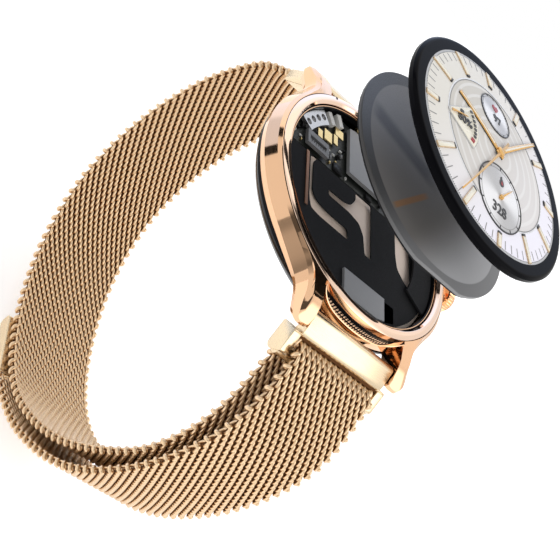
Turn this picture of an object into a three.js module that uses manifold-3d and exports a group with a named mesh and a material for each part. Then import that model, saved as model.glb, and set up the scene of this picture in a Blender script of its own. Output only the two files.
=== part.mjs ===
// Round smartwatch on a woven steel strap, opened like an exploded view.
// Millimetres. +Z points out of the dial, +Y to 12 o'clock, +X to 3 o'clock.
// The origin is the middle of the flat face of the back crystal.
import * as THREE from "three";
import { mergeVertices } from "three/addons/utils/BufferGeometryUtils.js";
import Module from "manifold-3d";

const wasm = await Module();
wasm.setup();

// ---- driving dimensions ----
const GAP = 0.3; // clearance between pieces that touch
const RING_SIDES = 72; // facets round the large rings

const RIM_TOP = 9.4; // polished rim above the back crystal's face
const RIM_INNER_R = 19.5;
const RIM_OUTER_R = 21.2;
const CASE_R = 23.1; // widest part of the case flank
const CASE_BOTTOM = 4.6;
const CASE_BORE_R = 19.6;
const FLOOR_TOP = 4.3; // inner floor of the case back

const GLASS_R = 20.0;
const GLASS_THICK = 1.2;
const DOME_RISE = 1.3; // the domed middle above the flat black border
const GLASS_RISE = 21.6; // lower face of the glass above the rim, as exploded
const PRINT_THICK = 0.15; // black border and touch layer under the glass
const ACTIVE_R = 17.5;
const PANEL_R = 18.9;
const PANEL_FLAT_Y = -18.1; // straight chin of the display module
const PANEL_RISE = 12.5; // front face of the display above the rim, as exploded
const PANEL_THICK = 0.6;
const PANEL_FRAME_THICK = 0.3;
const LAYER_GAP = 0.05; // between layers that are bonded to each other

const LUG_INNER_X = 9.7; // half of the gap that takes the strap
const LUG_OUTER_X = 12.8;
const BAR_Y = 23.9; // spring bars, measured from the case centre
const BAR_Z = 5.4;
const BAR_R = 0.7;

const STRAP_THICK = 1.6;
const STRAP_HALF_WIDTH = 9.1; // where it passes between the arms of the buckle
const MESH_HALF_WIDTH = 9.6;
const SEGMENT_GAP = 0.4; // gap between strap pieces that bend on each other

const CROWN_Z = 5.9;
const CROWN_HOLE_R = 1.15;
const CROWN_KNOB_R = 2.7;
const CROWN_START_X = 24.1; // inner face of the knob
const CROWN_DEPTH = 1.7;

// ---- materials ----
function metal(color, roughness = 0.3) {
  return new THREE.MeshStandardMaterial({ color, roughness, metalness: 1 });
}
function matte(color, roughness = 0.6) {
  return new THREE.MeshStandardMaterial({ color, roughness, metalness: 0 });
}
const ROSE_GOLD = metal(0xe8b48c, 0.12);
const PALE_GOLD = metal(0xf0ddbe, 0.3);
const STRAP_GOLD = metal(0xd2aa7c, 0.35);
const STEEL = metal(0xb8b8b8, 0.3);
const GOLD = metal(0xe2c27a, 0.25);
const COPPER = metal(0x9a6848, 0.4);
const BLACK = matte(0x111111, 0.3);
const GRAPHITE = matte(0x202020, 0.7);
const BOARD = matte(0x161a18, 0.5);
const GREY = matte(0x8a8a8a, 0.5);
const FROSTED = matte(0x777674, 0.6);
const CHASSIS = metal(0xdcc0ae, 0.5);
const RUBBER = matte(0x222222, 0.9);

// ---- geometry helpers ----
function clean(geometry) {
  const flat = geometry.clone();
  flat.deleteAttribute("normal");
  flat.deleteAttribute("uv");
  return mergeVertices(flat, 1e-4);
}

function toManifold(geometry) {
  const merged = clean(geometry);
  return new wasm.Manifold(new wasm.Mesh({
    numProp: 3,
    vertProperties: new Float32Array(merged.attributes.position.array),
    triVerts: new Uint32Array(merged.index.array),
  }));
}

function toGeometry(solid) {
  const mesh = solid.getMesh();
  const geometry = new THREE.BufferGeometry();
  geometry.setAttribute("position", new THREE.BufferAttribute(mesh.vertProperties, 3));
  geometry.setIndex(new THREE.BufferAttribute(mesh.triVerts, 1));
  geometry.computeVertexNormals();
  return geometry;
}

function joined(first, ...others) {
  const solid = others.reduce((sum, item) => sum.add(toManifold(item)), toManifold(first));
  return toGeometry(solid);
}

function cut(first, ...others) {
  const solid = others.reduce((rest, item) => rest.subtract(toManifold(item)), toManifold(first));
  return toGeometry(solid);
}

// Box from its low and high corners.
function box(low, high) {
  const size = high.map((value, axis) => value - low[axis]);
  const middle = high.map((value, axis) => (value + low[axis]) / 2);
  return new THREE.BoxGeometry(...size).translate(...middle);
}

// Solid of revolution about Z from [radius, z] points, listed with z rising on the outside.
function revolved(profile, sides = RING_SIDES) {
  const closed = [...profile];
  const [first] = closed;
  const last = closed[closed.length - 1];
  const onAxis = first[0] === 0 && last[0] === 0;
  if (!onAxis) {
    closed.push(first);
  }
  const points = closed.map(([radius, z]) => new THREE.Vector2(radius, z));
  return new THREE.LatheGeometry(points, sides).rotateX(Math.PI / 2);
}

function disc(radius, low, high, sides = RING_SIDES) {
  return revolved([[0, low], [radius, low], [radius, high], [0, high]], sides);
}

function ring(inner, outer, low, high, sides = RING_SIDES) {
  return revolved([[inner, low], [outer, low], [outer, high], [inner, high]], sides);
}

// Cylinder along X between two places, at [y, z].
function rodX(radius, from, to, y, z, sides = 20) {
  const rod = new THREE.CylinderGeometry(radius, radius, to - from, sides);
  return rod.rotateZ(Math.PI / 2).translate((from + to) / 2, y, z);
}

// Outline in the X-Y plane, raised from low to high.
function raised(outline, low, high, holes = []) {
  const shape = outline instanceof THREE.Shape
    ? outline
    : new THREE.Shape(outline.map(([x, y]) => new THREE.Vector2(x, y)));
  shape.holes.push(...holes);
  const options = { depth: high - low, bevelEnabled: false, curveSegments: 24 };
  return new THREE.ExtrudeGeometry(shape, options).translate(0, 0, low);
}

// Outline in the Y-Z plane, extruded along X from one place to another.
function across(outline, from, to) {
  const shape = new THREE.Shape(outline.map(([y, z]) => new THREE.Vector2(y, z)));
  const solid = new THREE.ExtrudeGeometry(shape, { depth: to - from, bevelEnabled: false });
  const turn = new THREE.Matrix4().set(
    0, 0, 1, from,
    1, 0, 0, 0,
    0, 1, 0, 0,
    0, 0, 0, 1,
  );
  return solid.applyMatrix4(turn);
}

function mirroredY(outline) {
  return outline.map(([y, z]) => [-y, z]).reverse();
}

// ---- scene graph ----
const watch = new THREE.Group();

function place(name, geometry, material, parent = watch) {
  const mesh = new THREE.Mesh(geometry, material);
  mesh.name = name;
  parent.add(mesh);
  return mesh;
}

// ---- case ----
const CASE_PROFILE = [
  [CASE_BORE_R, CASE_BOTTOM],
  [22.0, CASE_BOTTOM],
  [CASE_R, 6.0],
  [22.4, 8.7],
  [RIM_OUTER_R + GAP, 9.0],
  [RIM_OUTER_R + GAP, 7.2],
  [CASE_BORE_R, 7.2],
];
// Side view of one pair of lugs, on the 12 o'clock side.
const LUG_PROFILE = [
  [15.0, CASE_BOTTOM],
  [21.6, CASE_BOTTOM],
  [24.4, 4.0],
  [26.0, 4.7],
  [26.1, 5.8],
  [24.9, 7.1],
  [22.0, 8.3],
  [18.5, 8.9],
  [15.0, 8.9],
];

function buildMidCase() {
  const parts = [];
  for (const outline of [LUG_PROFILE, mirroredY(LUG_PROFILE)]) {
    for (const [from, to] of [[LUG_INNER_X, LUG_OUTER_X], [-LUG_OUTER_X, -LUG_INNER_X]]) {
      parts.push(across(outline, from, to));
    }
  }
  const shell = joined(revolved(CASE_PROFILE), ...parts);
  const inside = disc(CASE_BORE_R, CASE_BOTTOM - 2, RIM_TOP + 2);
  const rimSeat = disc(RIM_OUTER_R + GAP, 7.2, RIM_TOP + 2);
  const hole = rodX(CROWN_HOLE_R, 15, 26, 0, CROWN_Z);
  const strapRoom = [-1, 1].map((side) => box(
    [-LUG_INNER_X, side > 0 ? 21.9 : -27, 0],
    [LUG_INNER_X, side > 0 ? 27 : -21.9, 12],
  ));
  const sockets = [-1, 1].map((side) => rodX(BAR_R + GAP, -11.2, 11.2, side * BAR_Y, BAR_Z));
  return cut(shell, inside, rimSeat, hole, ...strapRoom, ...sockets);
}

place("mid_case", buildMidCase(), ROSE_GOLD);
place("rim_ring", revolved([
  [RIM_INNER_R, 7.5],
  [RIM_OUTER_R, 7.5],
  [RIM_OUTER_R, RIM_TOP - 0.3],
  [RIM_OUTER_R - 0.3, RIM_TOP],
  [RIM_INNER_R + 0.2, RIM_TOP],
  [RIM_INNER_R, RIM_TOP - 0.2],
]), metal(0xf6e2d8, 0.08));

// ---- case back ----
const CRYSTAL_R = 13.2;
const SCREW_RING_R = 16.6;
const SCREW_HEAD_R = 0.9;
const SCREW_ANGLES = [45, 135, 225, 315];

function ringPlace(radius, degrees) {
  const angle = THREE.MathUtils.degToRad(degrees);
  return [radius * Math.cos(angle), radius * Math.sin(angle)];
}

function uprightRod(radius, low, high, x, y, sides = 16) {
  const rod = new THREE.CylinderGeometry(radius, radius, high - low, sides);
  return rod.rotateX(Math.PI / 2).translate(x, y, (low + high) / 2);
}

function buildCaseBack() {
  const plate = revolved([
    [CRYSTAL_R + GAP, 0.9],
    [17.4, 1.3],
    [20.6, 2.9],
    [21.4, 3.7],
    [21.4, FLOOR_TOP],
    [19.0, FLOOR_TOP],
    [17.6, 3.1],
    [CRYSTAL_R + GAP, 3.1],
  ]);
  const holes = SCREW_ANGLES.map((degrees) => {
    const [x, y] = ringPlace(SCREW_RING_R - 1, degrees);
    return uprightRod(SCREW_HEAD_R + 0.15, 0, 2.0, x, y);
  });
  return cut(plate, ...holes);
}

place("case_back", buildCaseBack(), BLACK);
place("back_crystal", revolved([
  [0, 0],
  [10.5, 0],
  [12.6, 0.5],
  [CRYSTAL_R, 1.0],
  [CRYSTAL_R, 2.0],
  [0, 2.0],
]), matte(0x18181c, 0.08));
place("back_seal", ring(19.9, 20.7, FLOOR_TOP + 0.02, CASE_BOTTOM - 0.02, 48), RUBBER);
SCREW_ANGLES.forEach((degrees, index) => {
  const [x, y] = ringPlace(SCREW_RING_R - 1, degrees);
  place(`back_screw_${index + 1}`, uprightRod(SCREW_HEAD_R, 1.25, 1.9, x, y), STEEL);
});

// ---- inside the case, from the back up ----
const CHASSIS_LOW = 6.4;
const CHASSIS_TOP = 6.9;
const SHEET_LOW = 7.25; // black sheet and everything that lies beside it on the chassis
const SHEET_TOP = 7.45;
const SHIELD_TOP = 7.9;
const TALLEST_TOP = 8.1; // nothing reaches above this, so the display module can seat

place("sensor_board", disc(12.0, 2.3, 2.8, 40), BOARD);
place("sensor_ring", ring(6.2, 8.4, 2.95, 3.4, 36), GREY);
place("battery", uprightRod(11.2, 3.7, 6.0, 1.2, -4.5, 40), GREY);
place("vibration_motor", box([-16.4, -6.0, CASE_BOTTOM], [-11.6, 4.0, 6.0]), STEEL);
place("speaker_box", box([-13.0, 9.6, CASE_BOTTOM], [-4.6, 13.6, 6.1]), BLACK);

// The chassis plate shows through the openings of the black sheet.
function halfDisc(radius, lowY, highY) {
  const shape = new THREE.Shape();
  const lowAngle = Math.asin(lowY / radius);
  const highAngle = Math.asin(highY / radius);
  shape.absarc(0, 0, radius, lowAngle, highAngle, false);
  shape.absarc(0, 0, radius, Math.PI - highAngle, Math.PI - lowAngle, false);
  shape.closePath();
  return shape;
}

const SPLIT_Y = 5.2; // the sheet lies below this line, the main board above it
place("chassis_plate", raised(halfDisc(18.9, -18.3, SPLIT_Y), CHASSIS_LOW, CHASSIS_TOP), CHASSIS);
place("main_board", raised(halfDisc(18.9, SPLIT_Y + 0.4, 18.3), CHASSIS_LOW, CHASSIS_TOP), BOARD);

function outlinePath(points) {
  return new THREE.Path(points.map(([x, y]) => new THREE.Vector2(x, y)));
}

const SHEET_OPENINGS = [
  // long sloping slot on the 9 o'clock side
  [[-12.6, -3.8], [-12.3, -5.8], [-11.0, -6.3], [-4.4, -6.5], [-4.4, -5.9], [-11.0, -5.5]],
  // hook-shaped opening in the middle
  [[-8.2, 0.2], [-2.6, 0.2], [-1.6, 1.0], [-1.6, 4.0], [1.6, 4.0], [1.6, -7.6],
    [0.9, -7.6], [0.2, -3.6], [-1.8, -1.3], [-8.2, -0.7]],
  // leaf-shaped opening on the 3 o'clock side
  [[8.8, 3.8], [11.2, 3.2], [13.4, -6.0], [12.0, -6.3], [9.8, -2.6]],
];
place("graphite_sheet", raised(
  halfDisc(18.3, -12.2, SPLIT_Y - 0.4),
  SHEET_LOW,
  SHEET_TOP,
  SHEET_OPENINGS.map(outlinePath),
), GRAPHITE);
place("copper_strip", box([-14.1, -6.3, SHEET_TOP + 0.1], [-13.5, 4.6, SHEET_TOP + 0.25]), COPPER);
place("lower_shield", raised([[-4.4, -12.7], [5.8, -12.7], [5.8, -17.0], [3.8, -17.6], [-2.8, -17.6],
  [-4.4, -17.1]], SHEET_LOW, SHIELD_TOP), GREY);
place("lower_bracket", raised([[6.2, -12.7], [8.8, -12.7], [8.8, -15.7], [6.2, -16.8]],
  SHEET_LOW, SHEET_TOP), BLACK);
place("upper_shield", raised([[-3.6, 7.2], [6.6, 7.2], [6.6, 16.0], [-2.0, 17.2], [-3.6, 16.8]],
  SHEET_LOW, SHIELD_TOP), GREY);

function buildSocket() {
  const slotFloor = SHIELD_TOP - 0.4;
  const body = box([-14.2, 6.2, SHEET_LOW], [-9.0, 9.0, SHIELD_TOP]);
  const slot = box([-13.6, 7.2, slotFloor], [-9.6, 8.0, TALLEST_TOP]);
  const notches = Array.from({ length: 7 }, (_, index) => {
    const left = -13.4 + index * 0.55;
    return box([left, 6.8, slotFloor], [left + 0.25, 7.4, TALLEST_TOP]);
  });
  return cut(body, slot, ...notches);
}
place("display_socket", buildSocket(), GREY);

const PADS = [
  [[-11.4, 9.7], [-10.3, 11.4]],
  [[-9.8, 10.3], [-7.9, 12.5]],
  [[-7.0, 13.2], [-5.0, 14.9]],
  [[-7.4, 11.0], [-6.4, 13.0]],
];
PADS.forEach(([[lowX, lowY], [highX, highY]], index) => {
  place(`contact_pad_${index + 1}`, box([lowX, lowY, SHEET_LOW], [highX, highY, SHEET_TOP + 0.1]), GOLD);
});

function sector(innerR, outerR, fromDegrees, toDegrees) {
  const shape = new THREE.Shape();
  const from = THREE.MathUtils.degToRad(fromDegrees);
  const to = THREE.MathUtils.degToRad(toDegrees);
  shape.absarc(0, 0, outerR, from, to, false);
  shape.absarc(0, 0, innerR, to, from, true);
  shape.closePath();
  return shape;
}
const SOUND_HOLE_ANGLES = [127, 132.5, 138, 143.5];
function buildSpeakerCover() {
  const cover = raised(sector(16.2, 18.9, 124, 146), SHEET_LOW, SHIELD_TOP);
  const holes = SOUND_HOLE_ANGLES.map((degrees) => {
    const [x, y] = ringPlace(17.6, degrees);
    return uprightRod(0.6, SHEET_TOP, TALLEST_TOP, x, y, 14);
  });
  return cut(cover, ...holes);
}
place("speaker_cover", buildSpeakerCover(), STEEL);

[112, 120].forEach((degrees, index) => {
  const [x, y] = ringPlace(17.4, degrees);
  const spring = box([-0.5, -1.2, SHEET_LOW], [0.5, 1.2, TALLEST_TOP]);
  const mesh = place(`spring_contact_${index + 1}`, spring, STEEL);
  mesh.position.set(x, y, 0);
  mesh.rotation.z = THREE.MathUtils.degToRad(degrees - 90);
});
place("microphone", box([-1.6, 17.6, SHEET_LOW], [0.6, 18.6, SHIELD_TOP]), GOLD);
place("antenna_well", raised(sector(13.9, 18.8, -32, 12), SHEET_TOP + GAP, TALLEST_TOP), BLACK);

// ---- crown: the stem slides in, the knob turns on it ----
const STEM_R = 0.4;
place("crown_tube", cut(
  rodX(CROWN_HOLE_R - GAP, 19.7, 22.6, 0, CROWN_Z, 24),
  rodX(STEM_R + 0.25, 19, 24, 0, CROWN_Z, 24),
), STEEL);
place("crown_stem", rodX(STEM_R, 19.5, CROWN_START_X - 0.2, 0, CROWN_Z, 24), STEEL);
function buildCrownKnob() {
  const teeth = 24;
  const shape = new THREE.Shape();
  for (let index = 0; index < teeth * 2; index += 1) {
    const angle = (index / (teeth * 2)) * Math.PI * 2;
    const radius = index % 2 ? CROWN_KNOB_R - 0.15 : CROWN_KNOB_R;
    const point = [radius * Math.cos(angle), radius * Math.sin(angle)];
    if (index === 0) {
      shape.moveTo(...point);
    } else {
      shape.lineTo(...point);
    }
  }
  shape.closePath();
  const options = { depth: CROWN_DEPTH, bevelEnabled: false };
  const knob = new THREE.ExtrudeGeometry(shape, options).rotateY(Math.PI / 2);
  const cap = rodX(CROWN_KNOB_R - 0.5, CROWN_DEPTH - 0.1, CROWN_DEPTH + 0.5, 0, 0, 24);
  return joined(knob, cap);
}
place("crown_knob", buildCrownKnob().translate(CROWN_START_X, 0, CROWN_Z), ROSE_GOLD);
place("crown_switch", box([16.8, -1.6, CASE_BOTTOM], [18.8, 1.6, 6.1]), BLACK);

// ---- display module, lifted out of the case ----
function flatDisc(radius, flatY) {
  const shape = new THREE.Shape();
  const angle = Math.asin(-flatY / radius);
  shape.absarc(0, 0, radius, -angle, Math.PI + angle, false);
  shape.closePath();
  return shape;
}
const displayModule = new THREE.Group();
displayModule.position.z = RIM_TOP + PANEL_RISE;
watch.add(displayModule);
place("display_panel", raised(flatDisc(PANEL_R, PANEL_FLAT_Y), -PANEL_THICK, 0), FROSTED, displayModule);
const frameTop = -PANEL_THICK - LAYER_GAP;
const frameLow = frameTop - PANEL_FRAME_THICK;
const flexTop = frameLow - LAYER_GAP;
const frameOutline = flatDisc(PANEL_R - 0.2, PANEL_FLAT_Y + 0.2);
place("display_backing", raised(frameOutline, frameLow, frameTop), BLACK, displayModule);
place("display_flex", box([-10.5, -4, flexTop - 0.1], [-5.5, 6, flexTop]), COPPER, displayModule);

// ---- cover glass, lifted above the display ----
const glassGroup = new THREE.Group();
glassGroup.position.z = RIM_TOP + GLASS_RISE;
watch.add(glassGroup);
place("cover_glass", revolved([
  [0, 0],
  [GLASS_R, 0],
  [GLASS_R, GLASS_THICK - 0.5],
  [GLASS_R - 0.5, GLASS_THICK],
  [ACTIVE_R, GLASS_THICK + 0.1],
  [14.2, GLASS_THICK + 0.55],
  [10.0, GLASS_THICK + 0.92],
  [5.0, GLASS_THICK + 1.2],
  [0, GLASS_THICK + DOME_RISE],
]), matte(0xdddddd, 0.05), glassGroup);
const printLow = -LAYER_GAP - PRINT_THICK;
place("black_border", ring(ACTIVE_R, GLASS_R - 0.2, printLow, -LAYER_GAP), BLACK, glassGroup);
place("touch_layer", disc(ACTIVE_R - 0.1, printLow, -LAYER_GAP), matte(0xcfcfc8, 0.4), glassGroup);

// ---- strap ----
// Middle line of the strap in the Y-Z plane: once round the wrist inside, a fold round the
// buckle's outer bar, then back along the outside as the tail.
const FOLD_CENTRE = [-27.8, 0.4]; // outer bar of the buckle, at [y, z]
const FOLD_R = 2.5;
const FOLD_FROM = -40; // degrees round the bar, where the inner layer meets the fold
const FOLD_TO = 141;
const FOLD_SPLIT = 6; // length of mesh that turns with the buckle before the fold

function yzCurve(points) {
  return new THREE.SplineCurve(points.map(([y, z]) => new THREE.Vector2(y, z)));
}
function onFold(degrees) {
  const [y, z] = ringPlace(FOLD_R, degrees);
  return [FOLD_CENTRE[0] + y, FOLD_CENTRE[1] + z];
}
const INNER_LINE = yzCurve([
  [31.4, -1.4], [38.4, -9.6], [42.5, -24.0], [41.6, -40.0], [35.0, -54.0], [22.5, -63.0],
  [5.0, -66.2], [-11.0, -62.4], [-25.0, -49.6], [-33.8, -32.0], [-35.3, -20.0], [-32.5, -9.8],
  onFold(FOLD_FROM),
]);
const TAIL_LINE = yzCurve([
  onFold(FOLD_TO), [-34.7, -4.2], [-37.5, -10.8], [-38.4, -20.0], [-37.3, -30.3], [-33.9, -41.4],
  [-28.4, -50.8], [-20.0, -59.9], [-12.4, -65.2], [-5.4, -68.5],
]);
const INNER_LENGTH = INNER_LINE.getLength();
const TAIL_LENGTH = TAIL_LINE.getLength();
const ROOT_LENGTH = 6; // mesh that turns with the 12 o'clock end piece
const MAIN_PIECES = 5;
const TAIL_PIECES = 4;
const MESH_STEP = 3; // length of one straight facet of the strap

// Points of a strip of the strap's thickness, down one side of its middle line and back.
function stripOutline(points, normals) {
  const shift = (sign) => points.map(([y, z], index) => [
    y + sign * normals[index][0] * STRAP_THICK / 2,
    z + sign * normals[index][1] * STRAP_THICK / 2,
  ]);
  return [...shift(1), ...shift(-1).reverse()];
}
function solidAcross(outline, from, to) {
  const clockwise = THREE.ShapeUtils.isClockWise(outline.map(([y, z]) => new THREE.Vector2(y, z)));
  return across(clockwise ? [...outline].reverse() : outline, from, to);
}
function strapPiece(curve, fromMm, toMm, halfWidth = STRAP_HALF_WIDTH) {
  const length = curve.getLength();
  const steps = Math.max(2, Math.round((toMm - fromMm) / MESH_STEP));
  const stations = Array.from({ length: steps + 1 }, (_, index) => (
    (fromMm + (toMm - fromMm) * (index / steps)) / length));
  const points = stations.map((station) => curve.getPointAt(station).toArray());
  const normals = stations.map((station) => {
    const tangent = curve.getTangentAt(station);
    return [-tangent.y, tangent.x];
  });
  return solidAcross(stripOutline(points, normals), -halfWidth, halfWidth);
}

// Evenly cuts a stretch of the strap into pieces with a gap between neighbours.
function placePieces(name, curve, from, to, count, gap) {
  const span = (to - from + gap) / count;
  for (let index = 0; index < count; index += 1) {
    const start = from + span * index;
    const halfWidth = name === "tail" && index === 0 ? STRAP_HALF_WIDTH : MESH_HALF_WIDTH;
    place(`${name}_${index + 1}`, strapPiece(curve, start, start + span - gap, halfWidth), STRAP_GOLD);
  }
}

place("strap_root", strapPiece(INNER_LINE, GAP, ROOT_LENGTH), STRAP_GOLD);
placePieces("strap_mesh", INNER_LINE, ROOT_LENGTH + SEGMENT_GAP, INNER_LENGTH - FOLD_SPLIT - 1.2,
  MAIN_PIECES, 0.1);
placePieces("tail", TAIL_LINE, SEGMENT_GAP / 2, TAIL_LENGTH - GAP, TAIL_PIECES, SEGMENT_GAP);

function foldSolid() {
  const steps = 14;
  const angles = Array.from({ length: steps + 1 }, (_, index) => (
    FOLD_FROM + (FOLD_TO - FOLD_FROM) * (index / steps)));
  const lead = [INNER_LENGTH - FOLD_SPLIT, INNER_LENGTH - FOLD_SPLIT / 2];
  const leadPoints = lead.map((station) => INNER_LINE.getPointAt(station / INNER_LENGTH).toArray());
  const leadNormals = lead.map((station) => {
    const tangent = INNER_LINE.getTangentAt(station / INNER_LENGTH);
    return [-tangent.y, tangent.x];
  });
  const points = [...leadPoints, ...angles.map(onFold)];
  const normals = [...leadNormals, ...angles.map((degrees) => ringPlace(-1, degrees))];
  return solidAcross(stripOutline(points, normals), -STRAP_HALF_WIDTH, STRAP_HALF_WIDTH);
}
place("strap_fold", foldSolid(), STRAP_GOLD);

// ---- end piece, buckle and spring bars ----
const PIECE_HALF_WIDTH = LUG_INNER_X - 0.25;
const ARM_INNER_X = STRAP_HALF_WIDTH + 0.25;
const ARM_OUTER_X = 10.9;
const BAR_TIP_X = 10.8; // bar tips reach into the sockets of the lugs
const BAR_END_X = 5.6; // the fixed part of a bar stops here, the sliding pin follows
const PIN_START_X = 7.3;
const PEG_X = 8.4; // thumb peg of the sliding pin
const PEG_R = 0.45;
const PEG_END_Z = 2.0;

function pegSlot(side) {
  return box([PEG_X - 2.2, side * BAR_Y - 0.8, -4], [PEG_X + 0.8, side * BAR_Y + 0.8, BAR_Z]);
}
function barBore(side) {
  return rodX(BAR_R + GAP, -12, 12, side * BAR_Y, BAR_Z);
}

const END_PROFILE = [
  [22.4, 5.2], [23.0, 4.2], [25.0, 2.9], [28.6, -0.9], [30.0, -2.4], [31.7, -0.8], [28.2, 3.5],
  [25.4, 6.3], [24.2, 6.9], [23.0, 6.7],
];
place("end_piece", cut(
  solidAcross(END_PROFILE, -PIECE_HALF_WIDTH, PIECE_HALF_WIDTH),
  barBore(1),
  pegSlot(1),
), PALE_GOLD);

// The buckle: a plate between the lugs, two arms below them and the bar that the mesh folds round.
const PLATE_PROFILE = [
  [-22.4, 5.2], [-22.9, 6.8], [-24.0, 7.0], [-26.2, 4.8], [-26.5, 4.1], [-24.8, 2.5], [-24.4, 3.5],
  [-23.0, 4.1],
];
const CROSS_PROFILE = [[-24.8, 2.5], [-26.5, 3.75], [-26.5, 4.3], [-25.9, 3.85], [-24.7, 3.05]];
const ARM_PROFILE = [[-23.5, 2.1], [-24.6, 2.95], [-25.9, 3.75], [-26.5, 4.2], [-29.0, 1.3],
  [-27.4, -1.1], [-26.3, -1.2]];
function buildBuckle() {
  const arms = [-1, 1].map((side) => solidAcross(
    ARM_PROFILE,
    Math.min(side * ARM_INNER_X, side * ARM_OUTER_X),
    Math.max(side * ARM_INNER_X, side * ARM_OUTER_X),
  ));
  const plate = solidAcross(PLATE_PROFILE, -PIECE_HALF_WIDTH, PIECE_HALF_WIDTH);
  const cross = solidAcross(CROSS_PROFILE, -ARM_OUTER_X, ARM_OUTER_X);
  const bar = rodX(1.0, -ARM_OUTER_X + 0.2, ARM_OUTER_X - 0.2, ...FOLD_CENTRE, 24);
  return cut(joined(plate, cross, bar, ...arms), barBore(-1), pegSlot(-1));
}
place("buckle_loop", buildBuckle(), PALE_GOLD);

for (const [hour, side] of [[12, 1], [6, -1]]) {
  place(`spring_bar_${hour}`, rodX(BAR_R, -BAR_TIP_X, BAR_END_X, side * BAR_Y, BAR_Z), STEEL);
  const pin = rodX(BAR_R - 0.1, PIN_START_X, BAR_TIP_X, side * BAR_Y, BAR_Z);
  const peg = uprightRod(PEG_R, PEG_END_Z, BAR_Z, PEG_X, side * BAR_Y, 14);
  const head = new THREE.SphereGeometry(0.7, 14, 10).translate(PEG_X, side * BAR_Y, PEG_END_Z);
  place(`release_pin_${hour}`, joined(pin, peg, head), BLACK);
}

// ---- magnetic clasp on the end of the tail ----
const CLASP_PROFILE = [[-5.2, -67.6], [7.0, -67.6], [7.6, -68.2], [7.0, -69.9], [6.2, -70.3],
  [-5.2, -69.7]];
const MAGNET_LOW = [-7.4, -3.4, -68.7];
const MAGNET_HIGH = [7.4, 5.4, -67.7];
const pocket = box(
  MAGNET_LOW.map((value) => value - GAP),
  [MAGNET_HIGH[0] + GAP, MAGNET_HIGH[1] + GAP, -67],
);
place("clasp_shell", cut(
  solidAcross(CLASP_PROFILE, -MESH_HALF_WIDTH - 0.2, MESH_HALF_WIDTH + 0.2),
  pocket,
), PALE_GOLD);
place("clasp_magnet", box(MAGNET_LOW, MAGNET_HIGH), STEEL);

export default watch;
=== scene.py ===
import math
import random

import bmesh
import bpy
import numpy as np
from mathutils import Matrix, Vector


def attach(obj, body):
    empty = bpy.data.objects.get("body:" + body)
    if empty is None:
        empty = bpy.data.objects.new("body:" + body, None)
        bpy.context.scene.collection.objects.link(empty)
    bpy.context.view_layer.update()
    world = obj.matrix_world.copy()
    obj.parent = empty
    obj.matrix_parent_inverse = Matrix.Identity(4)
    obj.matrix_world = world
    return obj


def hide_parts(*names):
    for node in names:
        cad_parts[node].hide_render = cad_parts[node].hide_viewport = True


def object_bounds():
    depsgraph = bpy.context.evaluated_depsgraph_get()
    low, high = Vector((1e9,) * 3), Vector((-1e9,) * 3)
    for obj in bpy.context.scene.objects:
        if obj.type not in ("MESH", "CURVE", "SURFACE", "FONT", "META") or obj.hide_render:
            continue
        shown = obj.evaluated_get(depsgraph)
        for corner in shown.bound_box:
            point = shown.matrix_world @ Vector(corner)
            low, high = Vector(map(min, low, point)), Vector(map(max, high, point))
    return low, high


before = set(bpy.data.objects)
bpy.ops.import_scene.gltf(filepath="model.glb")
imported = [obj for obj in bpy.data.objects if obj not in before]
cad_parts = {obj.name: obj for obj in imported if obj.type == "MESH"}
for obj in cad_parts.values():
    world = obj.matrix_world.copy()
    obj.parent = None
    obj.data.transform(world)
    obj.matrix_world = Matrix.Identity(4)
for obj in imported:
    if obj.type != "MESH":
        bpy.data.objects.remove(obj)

CAD_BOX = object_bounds()
MM = 0.001


# ---------------------------------------------------------------- materials
class Nodes:
    """Short ways to add and join the nodes of one tree."""

    def __init__(self, tree):
        self.tree = tree

    def link(self, source, target):
        self.tree.links.new(source, target)

    def feed(self, socket, value):
        """Sets an input to a number or a colour, or links it."""
        if isinstance(value, (int, float)):
            socket.default_value = value
        elif isinstance(value, tuple):
            socket.default_value = (*value, 1.0)
        else:
            self.link(value, socket)

    def math(self, operation, *values):
        node = self.tree.nodes.new("ShaderNodeMath")
        node.operation = operation
        for index, value in enumerate(values):
            self.feed(node.inputs[index], value)
        return node.outputs[0]

    def smooth(self, value, low, high, start=0.0, end=1.0, kind="SMOOTHSTEP"):
        node = self.tree.nodes.new("ShaderNodeMapRange")
        node.interpolation_type = kind
        for key, setting in (("From Min", low), ("From Max", high), ("To Min", start), ("To Max", end)):
            node.inputs[key].default_value = setting
        self.link(value, node.inputs["Value"])
        return node.outputs[0]

    def mix(self, factor, first, second):
        node = self.tree.nodes.new("ShaderNodeMix")
        node.data_type = "RGBA"
        for index, value in ((0, factor), (6, first), (7, second)):
            self.feed(node.inputs[index], value)
        return node.outputs[2]


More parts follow.
